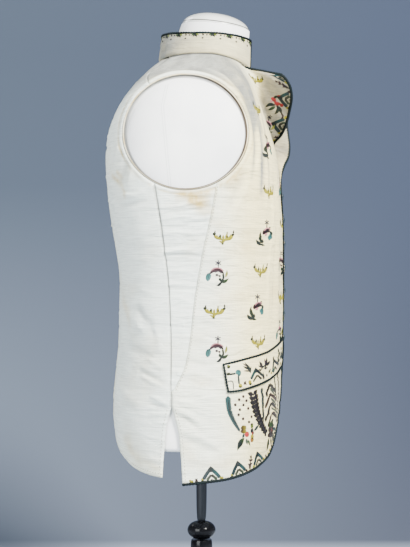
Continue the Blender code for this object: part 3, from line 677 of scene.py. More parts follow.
ARMHOLE_HEM = 5.0  # the turned edge round the armhole, its ridge and the groove of its stitching
ARMHOLE_RIDGE, RIDGE_WIDTH = 0.4, 1.6
ARMHOLE_GROOVE, GROOVE_WIDTH, GROOVE_AT = -0.55, 1.1, ARMHOLE_HEM + 0.4
WAVES = ((0.5, 11, 37, 0), (0.4, 7, -53, 1), (0.3, math.inf, 19, 2))  # size, length round and up, start
CREASE_RISE, CREASE_LIMIT, DRAPE_LIMITS = 2.8, 2.6, (-2.2, 3.0)
CALM_FRONT, CALM_NECK, CALM_ARMHOLE = (2, 14), (NECK - 12, 25), 9  # where the folds fade towards an edge


def armhole_away(angle, up):
    """About how far a place lies outside the armhole's edge, in millimetres."""
    across, over = np.moveaxis((skin(angle, up)[..., 1:] - ARMHOLE_CENTRE) / ARMHOLE_RADII, -1, 0)
    return (np.hypot(across, over) - 1) * sum(ARMHOLE_RADII) / 2


def hill(value, middle, width):
    return np.exp(-((value - middle) / width) ** 2)


def drape(angle, up, piece):
    """Height of all the folds of a piece: slow waves, the main creases and the fine ones."""
    near = np.where(angle > 180, 360 - angle, angle)
    away = armhole_away(near, up)
    waves = sum(size * np.sin(near / turn + up / climb + start) for size, turn, climb, start in WAVES)
    main, fine = crease_height(MAIN_CREASES, near, up), crease_height(FINE_CREASES[piece], angle, up)
    heights = waves + CREASE_LIMIT * np.tanh((CREASE_RISE * main + fine) / CREASE_LIMIT)
    calm = rising(near, *CALM_FRONT) * falling(up, *CALM_NECK) * rising(away, 0, CALM_ARMHOLE)
    edge = (ARMHOLE_RIDGE * hill(away, ARMHOLE_HEM / 2, RIDGE_WIDTH)
            + ARMHOLE_GROOVE * hill(away, GROOVE_AT, GROOVE_WIDTH))
    return np.clip(calm * heights, *DRAPE_LIMITS) + edge


# Stains, and soil with painted shade on the shoulders: half width and strength, then the points as depth and
# height
UNDERARM_STAINS = (
    (10, 0.95, 38, 642, 8, 640, -22, 648),
    (7, 0.9, 20, 632, 4, 626, -16, 628),
    (9, 0.7, -34, 648, -48, 662, -58, 684),
    (5, 0.45, 10, 618, -4, 614, -20, 618),
    (6, 0.35, -10, 608, -24, 600, -36, 604),
)
BACK_STAINS = (
    (4, 0.8, 127, 671, 118, 662, 109, 652),
    (2.5, 0.9, 111, 652, 107, 644, 108, 636),
    (3, 0.8, 120, 676, 114, 668, 112, 662),
    (7, 0.4, 112, 492, 104, 476, 100, 452),
    (8, 0.45, 108, 300, 96, 280, 78, 262),
    (1.2, 1, 76, 362, 75, 361.5, 74, 361),
    (5, 0.35, 80, 270, 66, 262, 56, 256),
)
SHOULDER_SOIL_AND_SHADE = (
    (14, 2, 40, 836, 0, 840, -38, 824, -66, 782, -78, 730),
    (12, 2, 84, 806, 44, 834, 4, 842),
    (7, 0.8, -50, 834, -66, 800, -80, 756, -86, 700, -84, 640),
    (2.8, 0.9, -54, 812, -66, 780, -73, 740, -74, 700, -70, 660),
    (2.8, 0.9, -64, 808, -77, 768, -83, 728, -85, 690, -83, 636),
    (2.4, 0.8, -78, 792, -88, 752, -93, 708, -95, 650),
)
SHOULDER_FROM, SHOULDER_RISE = 770, 50
# How much painted highlight the chest folds' ridges take, how much painted shade the main folds' troughs
# take, and how much less grey the back's yoke is
RIDGE_HIGHLIGHT, TROUGH_SHADE, YOKE_LESS_GREY = 0.5, 0.34, 0.6
# The brown line of painted shade in the armhole's stitched groove: its width, the share that stays, the
# share that comes and goes, and how far round and up that changes
GROOVE_SHADE_WIDTH, GROOVE_SHADE_EVEN, GROOVE_SHADE_BROKEN, GROOVE_SHADE_LENGTHS = 1.3, 0.75, 0.25, (2.3, 17)
PLAIN_WARM, BACK_WARM, HEM_WARM = 0.1, 0.4, 0.25  # ageing all over, round the back and near the hem
BACK_AGED, HEM_AGED, YOKE_ROUND = (150, 30), (300, 60), 28
COOL_WHITE, WARM_CREAM = srgb(230, 240, 234), srgb(238, 220, 148)
STAIN_AND_SHADE_BROWN, SOIL_AND_SHADE_GREY = srgb(196, 170, 104), srgb(124, 125, 117)
THREAD_PITCH = 0.55

# Plain weave with uneven threads, from a place in metres: a height, and streaks as a mask
weave, given, result = new_group("weave", {"Vector": "Vector", "Pitch": "Float", "Slub": "Float"},
                                 {"Height": "Float", "Streaks": "Float"})
warp, weft = (weave.maths("SINE", weave.maths("DIVIDE", weave.times(way, 2 * math.pi), given["Pitch"]))
              for way in weave.split(given["Vector"])[:2])
slubs = [weave.times(weave.noise(weave.stretched(given["Vector"], scale), 1.0, 3.0, Roughness=0.6), share)
         for scale, share in (((26.0, 620.0, 1.0), 0.84), ((480.0, 20.0, 1.0), 0.16))]
streaks = weave.plus(*slubs)
threads = weave.times(weave.times(warp, weft), 0.25)
weave.feed(result, {"Height": weave.plus(threads, weave.times(streaks, given["Slub"])), "Streaks": streaks})

# Washed-in crinkles that run along the weft in patches, as a height
crinkle, given, result = new_group("crinkle", {"Vector": "Vector"}, {"Height": "Float"})
runs = [crinkle.stretched(given["Vector"], scale) for scale in ((14.0, 120.0, 1.0), (20.0, 46.0, 1.0))]
ridges = [crinkle.times(crinkle.noise(run, 1.0, 3.0, Distortion=1.4), size)
          for run, size in zip(runs, (0.35, 0.65))]
patches = crinkle.ranged(crinkle.noise(given["Vector"], 13.0, 2.0), 0.35, 0.65, 0.25, 1.0)
crinkle.feed(result, {"Height": crinkle.times(crinkle.plus(*ridges), patches)})

# Ageing, stains, soil and painted shade laid over a clean cloth colour; the masks come from the cloth's own
# marks
aged_and_shaded, given, result = new_group("marks", {"Vector": "Vector", "Marks": "Color"}, {"Color": "Color"})
warm, stain_and_shade, soil_and_shade = aged_and_shaded.add("SeparateColor", {0: given["Marks"]})
cloud = aged_and_shaded.noise(given["Vector"], 34.0, 6.0, Roughness=0.65)
blotches = aged_and_shaded.ranged(aged_and_shaded.noise(given["Vector"], 11.0, 4.0), 0.52, 0.8)
colour = aged_and_shaded.mixed(warm, COOL_WHITE, WARM_CREAM)
for mask, mark in ((aged_and_shaded.times(blotches, 0.35), STAIN_AND_SHADE_BROWN),
                   (aged_and_shaded.times(stain_and_shade, aged_and_shaded.ranged(cloud, 0.26, 0.6)), STAIN_AND_SHADE_BROWN),
                   (aged_and_shaded.times(soil_and_shade, aged_and_shaded.ranged(cloud, 0.2, 0.6, 0.6, 1.0)), SOIL_AND_SHADE_GREY)):
    colour = aged_and_shaded.mixed(mask, colour, mark)
aged_and_shaded.feed(result, {"Color": colour})


def cloth_finish(name):
    made = Finish(name, Sheen_Weight=0.1, Sheen_Roughness=0.4)
    place = made.place("UV")
    woven = made.group(weave, Vector=place, Pitch=THREAD_PITCH * MM, Slub=0.4)
    colour = made.group(aged_and_shaded, Vector=place, Marks=made.painted("marks"))["Color"]
    crumpled = made.bump(made.group(crinkle, Vector=place)["Height"], 7.0 * MM)
    return made.given(Base_Color=made.toned(colour, made.ranged(woven["Streaks"], 0.36, 0.64, 0.78, 1.06)),
                      Roughness=made.ranged(woven["Streaks"], 0.2, 0.8, 0.7, 0.92),
                      Normal=made.bump(woven["Height"], 0.5 * MM, 0.8, Normal=crumpled))


PLAIN_CLOTH = cloth_finish("plain_linen_cotton")


def marked(rows, angle, up):
    return np.clip(crease_height(rows, angle, up), 0, 1)


def stained_and_shaded(rows, angle, up):
    """These stains, and a brown line of painted shade in the groove of the armhole's stitching, fainter in
    places.
    """
    round_turn, up_turn = GROOVE_SHADE_LENGTHS
    line = hill(armhole_away(angle, up), GROOVE_AT, GROOVE_SHADE_WIDTH)
    kept = GROOVE_SHADE_EVEN + GROOVE_SHADE_BROKEN * np.sin(angle / round_turn + up / up_turn)
    return marked(creased(rows), angle, up) + line * kept


def soiled_and_shaded(angle, up, dusty):
    """Soil with painted shade along the shoulders' rows, and a grey over the shoulder tops that is partly
    dust and partly painted shade, with painted highlights on the ridges of the chest folds and none on the
    armhole's turned edge; and painted shade in the troughs of the main folds."""
    high = rising(up, up_at("side_z", SHOULDER_FROM), SHOULDER_RISE)
    # painted highlight: the grey is thinned on the ridges of the chest folds
    rubbed = 1 - RIDGE_HIGHLIGHT * marked(CHEST_ROWS, angle, up)
    shoulder_dust_and_shade = high * rubbed * rising(armhole_away(angle, up), ARMHOLE_HEM - 2.5, 3)
    near = np.where(angle > 180, 360 - angle, angle)
    # painted shade in the troughs of the main folds
    troughs = np.clip(-crease_height(MAIN_CREASES, near, up), 0, 1)
    return marked(creased(SHOULDER_SOIL_AND_SHADE), angle, up) + dusty * shoulder_dust_and_shade + TROUGH_SHADE * troughs


def all_marks(warm, stain_and_shade, soil_and_shade):
    return np.stack([warm, np.clip(stain_and_shade, 0, 1), np.clip(soil_and_shade, 0, 1)], axis=-1)


def plain_marks(angle, up):
    warm = PLAIN_WARM + BACK_WARM * rising(angle, *BACK_AGED) + HEM_WARM * falling(up, *HEM_AGED)
    dusty = 1 - YOKE_LESS_GREY * rising(angle, SHOULDER_SEAM_ANGLE, YOKE_ROUND)
    return all_marks(warm, stained_and_shaded(UNDERARM_STAINS + BACK_STAINS, angle, up), soiled_and_shaded(angle, up, dusty))


def quads(grid):
    """The faces of a grid of points."""
    return np.stack([grid[:-1, :-1], grid[1:, :-1], grid[1:, 1:], grid[:-1, 1:]], axis=-1).reshape(-1, 4)


def round_edge(grid):
    """The points round a grid, once each."""
    return np.concatenate([grid[0], grid[1:, -1], grid[-1, -2::-1], grid[-2:0:-1, 0]])


def mesh_object(name, points, faces, material, uvs=None, colours=None, colour_name="marks"):
    """A smooth-shaded object from points in millimetres, with a UV place and a colour for each point."""
    mesh = bpy.data.meshes.new(name)
    mesh.from_pydata((np.asarray(points) * MM).tolist(), [], faces)
    mesh.materials.append(material)
    mesh.shade_smooth()
    if uvs is not None:
        corners = np.empty(len(mesh.loops), np.int32)
        mesh.loops.foreach_get("vertex_index", corners)
        layer = mesh.uv_layers.new(name="cloth")
        layer.data.foreach_set("uv", np.asarray(uvs)[corners].ravel().astype(np.float32))
    if colours is not None:
        layer = mesh.color_attributes.new(colour_name, "FLOAT_COLOR", "POINT")
        colours = np.concatenate([colours, np.ones((len(colours), 1))], axis=1)
        layer.data.foreach_set("color", colours.ravel().astype(np.float32))
    made = bpy.data.objects.new(name, mesh)
    bpy.context.scene.collection.objects.link(made)
    return made


def seamed(points):
    """The net's edges drawn in by half a seam gap."""
    points = points.copy()
    for edge, inner in ((0, 1), (-1, -2)):
        points[:, edge] += SEAM_GAP / 2 * unit(points[:, inner] - points[:, edge])
        points[edge] += SEAM_GAP / 2 * unit(points[inner] - points[edge])
    return points


def mirrored(points):
    return points[:, ::-1] * (-1, 1, 1)


def cloth_sheet(name, net, ground, marks, material, wall=WALL, mirror=False, sewn=True, dark_seam=()):
    """A wall of cloth on a net of (angle, up), with two faces and the rim that joins them. The ground
    gives its inner face and normal; a dark seam is some rows at one of the net's columns."""
    inner, normal = ground(net[..., 0], net[..., 1])
    colours = marks(net[..., 0], net[..., 1])
    if dark_seam:
        colours[(*dark_seam, 2)] = 1.0
    uvs = net * (MM_PER_DEGREE * MM, MM)
    if mirror:
        inner, normal, colours, uvs = mirrored(inner), mirrored(normal), colours[:, ::-1], uvs[:, ::-1]
    if sewn:
        inner = seamed(inner)
    thick = np.full(net.shape[:2], wall * EDGE_THIN)
    thick[1:-1, 1:-1] = wall
    points = np.stack([inner + thick[..., None] * normal, inner])
    grid, inside = np.arange(thick.size).reshape(thick.shape), thick.size
    rim = round_edge(grid)
    ahead = np.roll(rim, -1)
    sides = np.stack([rim, ahead, ahead + inside, rim + inside], axis=-1)
    faces = np.concatenate([quads(grid), quads(grid)[:, ::-1] + inside, sides]).tolist()
    return mesh_object(name, points.reshape(-1, 3), faces, material,
                       np.tile(uvs.reshape(-1, 2), (2, 1)), np.tile(colours.reshape(-1, 3), (2, 1)))


def skin_ground(piece):
    def ground(angle, up):
        normal = outward(angle, up)
        return skin(angle, up) + drape(angle, up, piece)[..., None] * normal, normal
    return ground


def shoulder_run(start, n):
    return trace(SHOULDER_STEPS * n, [(SHOULDER_SEAM_ANGLE, NECK), start])


def neck_run(start, end, count, steps):
    return trace(steps, [(angle, NECK) for angle in np.linspace(start, end, count)])


def back_net():
    """The back's right half, from the slit, the seam and the armhole on its side to the middle."""
    rows, columns = BACK_SPLITS
    armhole = armhole_arc(SIDE_SEAM_CLOCK, SHOULDER_SEAM_CLOCK, BACK_ARM_STEPS * rows)
    side = join(trace(SLIT_STEPS * rows, side_points(SLIT_BACK_EDGE)),
                trace(rows, side_points((SLIT_TOP, GUSSET_TIP_BACK))),
                trace(SEAM_STEPS * rows, side_points(SIDE_SEAM), armhole[:1]), armhole)
    hem = trace((SHOULDER_STEPS + NECK_BACK_STEPS) * columns, side[:1], crossing_points(BACK_HEM))
    middle = trace(len(side) - 1, [(180, hem[-1, 1]), (180, up_at("back_z", WAIST)), (180, NECK)])
    neck = neck_run(SHOULDER_SEAM_ANGLE, 180, 3, NECK_BACK_STEPS * columns)
    return patch(side, middle, hem, join(shoulder_run(side[-1], columns)[::-1], neck), BACK_SPLITS)


def plain_panels(piece, net, dark_seam):
    panels = {}
    for side in SIDES:
        panel = cloth_sheet(f"{piece}_cloth_{side}", net, skin_ground(piece), plain_marks, PLAIN_CLOTH,
                            mirror=side == "left", dark_seam=dark_seam)
        panels[side] = fitted(panel, "plain_cloth", f"{piece}_{side}")
    return panels


BACK_NET = back_net()
SEAMED_ROWS = slice(SLIT_STEPS * BACK_SPLITS[0], (SLIT_STEPS + 1 + SEAM_STEPS) * BACK_SPLITS[0])
backs = plain_panels("back", BACK_NET, (SEAMED_ROWS, 0))

# ---- Side gussets ----
# A tapered piece of the plain cloth let in under each arm, seamed to the back and, with a row of small
# stitches, to the front. Fine creases cross it.

GUSSET_LINE = (GUSSET_TIP_FRONT, (33, 377), (24, 396), (17, 429), (9, 497), (-1, 556), (-13, 610))
GUSSET_SPLITS = (18, 8)
GUSSET_WIDE_STEPS = 5


def gusset_line(n):
    return trace(SEAM_STEPS * n, side_points(GUSSET_LINE), armhole_arc(GUSSET_CLOCK, GUSSET_CLOCK, 1)[:1])


def gusset_net():
    rows, wide = GUSSET_SPLITS[0], GUSSET_WIDE_STEPS * GUSSET_SPLITS[1]
    under = armhole_arc(GUSSET_CLOCK, SIDE_SEAM_CLOCK, wide)
    seam = trace(SEAM_STEPS * rows, side_points(SIDE_SEAM), under[-1:])
    foot = trace(wide, side_points((GUSSET_TIP_FRONT, GUSSET_TIP_BACK)))
    return patch(gusset_line(rows), seam, foot, under, GUSSET_SPLITS)


gussets = plain_panels("gusset", gusset_net(), (slice(None), -1))

# ---- Fronts ----
# Cream linen-cotton over a plain lining, cut away below the waist. The left front laps over the right,
# and each top corner falls open, its outer face turned forward. The cloth is drawn in along the edges.

LAP, LAP_LIFT = 14.0, 2.4
LAP_RAMP = (8, 24.0)  # degrees where the lap starts to come down, and over which it does
LAP_END = (690, 760)  # heights between which it ends
SLIT_FRONT_EDGE = ((26, 238), (28.5, 278), (32, 310), SLIT_TOP)
FRONT_CORNER = (44, 271)
FRONT_EDGE = (FRONT_CORNER, (35, 290), (26, 312), (16, 347), (4, 396), (-4.5, 433), (-6.4, 470), (-6.4, 560))
STRAIGHT_FROM, EDGE_MIDDLE = 590, 640  # where the edge is straight, and where its rows change
FRONT_HEM = (FRONT_CORNER, (52.5, 261), (63, 252), (75, 245), (87, 241))
FLARES = {  # height at the centre front, width turned forward, radius of the bend
    "right": ((710, 0, 5), (720, 1, 5), (730, 11, 6), (741, 24, 8), (763, 42, 10), (781, 54, 12),
              (800, 65, 14), (815, 69, 14), (826, 67, 14), (833, 59, 14)),
    "left": ((650, 0, 5), (672, 7, 5), (686, 12, 6), (698, 18, 6), (708, 25, 7), (727, 34, 8), (741, 38, 9),
             (763, 45, 11), (781, 53, 12), (800, 60, 14), (815, 63, 14), (826, 61, 14), (833, 52, 14)),
}
FLARE_TURN, FLARE_DROOP = math.radians(86), 0.22
FLARE_WAVE, FLARE_WAVE_FROM, FLARE_WAVE_LENGTHS = 1.3, 18, (8, 13)
NECK_DIP, NECK_DIP_DOWN, NECK_DIP_ROUND = 9, 25, (45, 14)
FRONT_WARM, EDGE_WARM, TOP_FRESH = 0.25, 0.6, 0.35  # ageing, more of it at the edge and less at the top
EDGE_AGED, TOP_UP, TOP_ROUND = (86, 30), (780, 60), (20, 15)
CORNER_UP, CORNER_ROUND = 40, (26, 14)
EDGE_SHADE, CORNER_DARKENING = 0.42, 0.4  # painted shade near the front edge, and a darker turned corner
# How far round the front edge's painted shade reaches, and where the shoulders' dust and painted shade begin
EDGE_SHADE_ROUND, DUST_AND_SHADE_ROUND = (38, 26), (26, 40)
FRONT_SPLITS = (9, 5)
EDGE_STEPS, ARM_FRONT_STEPS, NECK_FRONT_STEPS = 16, 15, 12
FRONT_STAINS = (
    (8, 0.35, 26, 300, 16, 280, 12, 258),
    (10, 0.4, 8, 262, -20, 262, -48, 270),
    (9, 0.35, -60, 596, -66, 580, -64, 560),
    (8, 0.3, -30, 560, -56, 566, -80, 560),
    (8, 0.35, 16, 388, 0, 380, -18, 382),
    (9, 0.3, -20, 496, -44, 500, -70, 496),
    (6, 0.35, -74, 640, -90, 646, -100, 640),
)


def lap_angle(up):
    return np.degrees(LAP / (section("centre_y", up) - section("front_y", up)))


def front_net():
    """A front, from its own edge to its slit, gusset and armhole."""
    rows, columns = FRONT_SPLITS
    ups = np.linspace(up_at("front_z", STRAIGHT_FROM), NECK, 9)
    whole = np.concatenate([crossing_points(FRONT_EDGE), np.stack([-lap_angle(ups), ups], axis=1)])
    middle = np.argmin(np.abs(whole[:, 1] - up_at("front_z", EDGE_MIDDLE)))
    edge = join(trace(EDGE_STEPS * rows, whole[: middle + 1]), trace(ARM_FRONT_STEPS * rows, whole[middle:]))
    slit = trace(SLIT_STEPS * rows, side_points(SLIT_FRONT_EDGE))
    hem = trace((NECK_FRONT_STEPS + SHOULDER_STEPS) * columns, crossing_points(FRONT_HEM), slit[:1])
    side = join(slit, trace(rows, side_points((SLIT_TOP, GUSSET_TIP_BACK))),
                trace(2 * rows, side_points((GUSSET_TIP_BACK, GUSSET_TIP_FRONT))), gusset_line(rows),
                armhole_arc(GUSSET_CLOCK, SHOULDER_SEAM_CLOCK - 360, ARM_FRONT_STEPS * rows))
    neck = neck_run(edge[-1, 0], SHOULDER_SEAM_ANGLE, 9, NECK_FRONT_STEPS * columns)
    return patch(edge, side, hem, join(neck, shoulder_run(side[-1], columns)), FRONT_SPLITS)


def turned_front(angle, up, side):
    """Point and normal of a front's inner face with its turned corner and, on the left, its lap, and how
    far beyond the fold the point lies."""
    heights, widths, radii = np.array(FLARES[side], float).T
    knots = up_at("front_z", heights)
    width = np.where(up < knots[0], 0, spline(up, knots, widths))
    radius = spline(up, knots, radii)
    reach = section("centre_y", up) - section("front_y", up)
    fold = -lap_angle(up) + np.degrees(width / reach)
    beyond = np.where(width > 0.05, np.radians(np.clip(fold - angle, 0, None)) * reach, 0)
    base = np.where(beyond > 0, fold, angle)
    point, normal = skin(base, up), outward(base, up)
    flat = unit(normal * (1, 1, 0))
    ahead = np.stack([-flat[..., 1], flat[..., 0], np.zeros_like(up)], axis=-1)
    bend = np.minimum(beyond / radius, FLARE_TURN)
    straight = np.maximum(beyond - radius * FLARE_TURN, 0)
    forward = radius * np.sin(bend) + straight * np.cos(bend)
    out = radius * (1 - np.cos(bend)) + straight * np.sin(bend)
    point = point + forward[..., None] * ahead + out[..., None] * flat
    point[..., 2] -= FLARE_DROOP * beyond
    normal = np.sin(bend)[..., None] * -ahead + np.cos(bend)[..., None] * normal
    if side == "left":
        start, end = up_at("front_z", LAP_END)
        lift = LAP_LIFT * (1 - rising(up, start, end - start)) * (1 - rising(base, *LAP_RAMP))
        point = point + lift[..., None] * normal
    return point, unit(normal), beyond


def front_ground(side, off=0.0):
    """A front's inner face, or a layer that lies `off` millimetres out from it."""
    def ground(angle, up):
        dip = NECK_DIP * rising(up, NECK - NECK_DIP_DOWN, NECK_DIP_DOWN) * falling(angle, *NECK_DIP_ROUND)
        point, normal, beyond = turned_front(angle, up - dip, side)
        round_turn, up_turn = FLARE_WAVE_LENGTHS
        wave = FLARE_WAVE * rising(beyond, 0, FLARE_WAVE_FROM) * np.sin(beyond / round_turn + up / up_turn)
        return point + (drape(angle, up, "front") + wave + off)[..., None] * normal, normal
    return ground


def front_marks(angle, up):
    corner = rising(up, up_at("front_z", LAP_END[0]), CORNER_UP) * falling(angle, *CORNER_ROUND)
    warm = FRONT_WARM + EDGE_WARM * falling(angle, *EDGE_AGED)
    warm = warm * (1 - TOP_FRESH * rising(up, *TOP_UP) * rising(angle, *TOP_ROUND))
    # Painted shade near the front edge; the turned corner browner and darker
    edge_shade_and_corner = EDGE_SHADE * falling(angle, *EDGE_SHADE_ROUND) + CORNER_DARKENING * corner
    return all_marks(warm, stained_and_shaded(UNDERARM_STAINS + FRONT_STAINS, angle, up) + corner,
                     soiled_and_shaded(angle, up, rising(angle, *DUST_AND_SHADE_ROUND)) + edge_shade_and_corner)


def cream_sheet(piece, cad_node, side, net, ground, **sheet):
    made = cloth_sheet(f"{piece}_{side}", net, ground, front_marks, CREAM_CLOTH, mirror=side == "left",
                       **sheet)
    return fitted(made, "embroidered_cloth", f"{cad_node}_{side}")


CREAM_CLOTH = cloth_finish("cream_linen_cotton")
FRONT_NET = front_net()
fronts = {side: cream_sheet("front_cloth", "front", side, FRONT_NET, front_ground(side)) for side in SIDES}

# ---- Armhole bindings ----
# A narrow cream roll of cloth just inside each armhole, stitched to its edge, with painted shadow on its
# inner side where it meets the form.

ROLL_CREAM, ROLL_SHADOW = srgb(232, 222, 190), srgb(66, 52, 36)
ROLL_SHADE = (0.988, 0.974)  # share of the armhole's radius where the painted shadow begins and where it is full

roll = Finish("armhole_roll", Sheen_Weight=0.2)
place = roll.place()
woven = roll.group(weave, Vector=place, Pitch=THREAD_PITCH * MM, Slub=0.5)
age = roll.noise(place, 40.0, 5.0)
cream = roll.mixed(roll.ranged(age, 0.4, 0.75), ROLL_CREAM, STAIN_AND_SHADE_BROWN)
# painted shadow on the roll's inner side, where it meets the form
inside = roll.ranged(roll.group(armhole_share, Vector=place)["Share"], *ROLL_SHADE)
BINDING_CLOTH = roll.given(Base_Color=roll.mixed(inside, cream, ROLL_SHADOW),
                           Roughness=roll.ranged(woven["Streaks"], 0.2, 0.8, 0.72, 0.92),
                           Normal=roll.bump(roll.plus(woven["Height"], age), 0.0005, 0.8))
for side in SIDES:
    refined("binding_roll_" + side, "armhole_binding_" + side, BINDING_CLOTH, "plain_cloth", 180, levels=1)

# ---- Cords ----
# Dark green silk cord of two plies, laid along the fronts' edges and hems. It is a tube whose round
# section has two lobes that wind along it.

CORD_GREEN, CORD_LIGHT = srgb(3, 9, 11), srgb(14, 30, 31)
CORD_RADIUS = 2.0
CORD_LAP_RADIUS = 0.95  # between the two fronts, where the cord is pressed flat
CORD_PROUD = 0.8  # how far outwards it lies, for each millimetre that it is thicker than at the lap
CORD_PITCH, CORD_STEP, CORD_SIDES = 4.2, 0.9, 8
CORD_LOBE = 0.2
CORD_NECK_END = 36.0  # degrees round the body where the cord stops on the neck edge
LAP_HEIGHTS, LAP_ASIDE, LAP_FADE = (440, 672), (16, 16), 20  # where one front lies on the other

silky = Finish("green_silk_cord", Roughness=0.7, Specular_IOR_Level=0.15)
run = silky.place("UV")
plies = silky.add("TexWave", {"Vector": silky.stretched(run, (260.0, 60.0, 1.0)), "Scale": 1.0,
                              "Distortion": 1.5, "Detail": 2.0}, bands_direction="DIAGONAL")[0]
wear = silky.ranged(silky.noise(run, 60.0, 4.0), 0.45, 0.8, 0.0, 0.6)
lightened = silky.plus(silky.times(plies, 0.25), wear)
GREEN_CORD = silky.given(Base_Color=silky.mixed(lightened, CORD_GREEN, CORD_LIGHT),
                         Normal=silky.bump(plies, 0.0003, 0.6))


def handed(points, side):
    """Points of the right-hand side as they lie on this side."""
    return points * (-1, 1, 1) if side == "left" else points


def evenly(points, step, closed):
    """The same path in equal steps."""
    if closed:
        points = np.concatenate([points, points[:1]])
    run = reached(np.diff(points, axis=0))
    even = read_off(np.linspace(0, run[-1], int(run[-1] / step) + 1), run, points)
    return even[:-1] if closed else even


def cord(name, path, radius, closed=False):
    """A twisted cord along a path in millimetres; the radius is worked out from its points."""
    points = evenly(path, CORD_STEP, closed)
    ahead = unit(np.roll(points, -1, axis=0) - np.roll(points, 1, axis=0))
    if not closed:
        ahead[0], ahead[-1] = ahead[1], ahead[-2]
    across = np.empty_like(points)
    across[0] = unit(np.cross(ahead[0], (0.31, 0.57, 0.76)))  # any way that isn't along the cord
    for i in range(1, len(points)):
        across[i] = unit(across[i - 1] - np.dot(across[i - 1], ahead[i]) * ahead[i])
    over = np.cross(ahead, across)
    run = np.arange(len(points))[:, None] * CORD_STEP
    around = np.arange(CORD_SIDES) * 2 * math.pi / CORD_SIDES
    lobes = 1 + CORD_LOBE * np.cos(2 * around - 2 * math.pi * run / CORD_PITCH)
    reach = (radius(points)[:, None] * lobes)[..., None]
    rings = points[:, None] + reach * (np.cos(around)[:, None] * across[:, None]
                                       + np.sin(around)[:, None] * over[:, None])
    grid = np.arange(len(points) * CORD_SIDES).reshape(-1, CORD_SIDES)
    rounded = np.concatenate([grid, grid[:, :1]], axis=1)
    if closed:
        rounded = np.concatenate([rounded, rounded[:1]])
    ends = [] if closed else [grid[0, ::-1].tolist(), grid[-1].tolist()]
    faces = quads(rounded)[:, [0, 3, 2, 1]].tolist() + ends
    uvs = np.stack(np.broadcast_arrays(run, around * CORD_RADIUS), axis=-1).reshape(-1, 2) * MM
    return fitted(mesh_object(name, rings.reshape(-1, 3), faces, GREEN_CORD, uvs), "embroidered_cloth")


def edge_radius(points):
    aside = rising(np.abs(points[:, 0]), *LAP_ASIDE)
    above = rising(points[:, 2], LAP_HEIGHTS[1], LAP_FADE)
    below = falling(points[:, 2], LAP_HEIGHTS[0], LAP_FADE)
    return CORD_LAP_RADIUS + (CORD_RADIUS - CORD_LAP_RADIUS) * np.maximum(aside, np.maximum(above, below))


def plain_radius(radius):
    def of_points(points):
        return np.full(len(points), radius)
    return of_points


neck_part = FRONT_NET[-1][FRONT_NET[-1][:, 0] < CORD_NECK_END]
edge_path = np.concatenate([FRONT_NET[0, :0:-1], FRONT_NET[:-1, 0], neck_part])
for side in SIDES:
    inner, normal = front_ground(side, WALL / 2)(*edge_path.T)
    centre = inner + CORD_PROUD * (edge_radius(inner) - CORD_LAP_RADIUS)[:, None] * normal
    cord("edge_cord_" + side, handed(centre, side), edge_radius)

# ---- Pocket flaps ----
# A narrow slanting flap of the fronts' cloth on each side, bound all round with the green cord.

FLAP_TOP = ((76, 403), (65.5, 409), (46, 419), (19, 436))
FLAP_BOTTOM = ((74, 365), (67, 367), (60, 371), (48, 378), (37, 385), (17.5, 395))
FLAP_WALL, FLAP_GAP = 1.5, 0.6
FLAP_CORD_RADIUS = 1.6
FLAP_STEPS = (18, 70)


def between(rise, low, high):
    return (1 - rise) * low + rise * high


top, bottom = (trace(FLAP_STEPS[1], crossing_points(line))[::-1] for line in (FLAP_TOP, FLAP_BOTTOM))
FLAP_NET = between(np.linspace(0, 1, FLAP_STEPS[0] + 1)[:, None, None], bottom, top)
flaps, flap_cords = {}, {}
for side in SIDES:
    flaps[side] = cream_sheet("flap_cloth", "pocket_flap", side, FLAP_NET,
                              front_ground(side, WALL + FLAP_GAP), wall=FLAP_WALL, sewn=False)
    rim, _ = front_ground(side, WALL + FLAP_GAP + FLAP_WALL)(*round_edge(FLAP_NET).T)
    flap_cords[side] = cord("flap_cord_" + side, handed(rim, side), plain_radius(FLAP_CORD_RADIUS), True)

# ---- Collar ----
# A stand collar of the same cloth, doubled, crumpled and browned at the back of the neck. The green cord
# runs along its top edge and down its two front ends.

COLLAR_WALL, COLLAR_SEAT = 2.4, 0.7
COLLAR_OPENING = 10
COLLAR_TOP = {"front_z": 877, "side_z": 881, "back_z": 885, "half_width": 59, "front_y": -72.6, "back_y": 57}
COLLAR_STEPS = (14, 240)
COLLAR_HEIGHT, COLLAR_MM_PER_DEGREE = 36.0, 1.12
COLLAR_CORD_RADIUS, COLLAR_CORD_OUT = 1.7, 0.9  # how far out of the wall it lies, as a share
COLLAR_CRUMPLES = (  # start and end, as degrees and share of the height, then half width and height in mm
    ((118, 0.62), (176, 0.40), 2.6, 1.0),
    ((128, 0.30), (168, 0.18), 2.2, -0.7),
    ((96, 0.80), (140, 0.74), 2.0, -0.6),
    ((150, 0.85), (196, 0.60), 2.8, 0.9),
    ((182, 0.30), (228, 0.48), 2.4, -0.8),
    ((205, 0.75), (240, 0.60), 2.4, 0.8),
    ((72, 0.45), (112, 0.30), 2.0, 0.5),
    ((238, 0.25), (282, 0.38), 2.2, 0.5),
    ((40, 0.30), (66, 0.62), 2.0, 0.4),
    ((296, 0.62), (330, 0.30), 2.0, 0.4),
    ((46, 0.20), (118, 0.34), 1.4, 0.8),
    ((60, 0.42), (132, 0.50), 1.3, -0.8),
    ((40, 0.52), (86, 0.60), 1.3, 0.7),
    ((242, 0.34), (314, 0.20), 1.4, 0.8),
    ((228, 0.50), (300, 0.42), 1.3, -0.8),
)


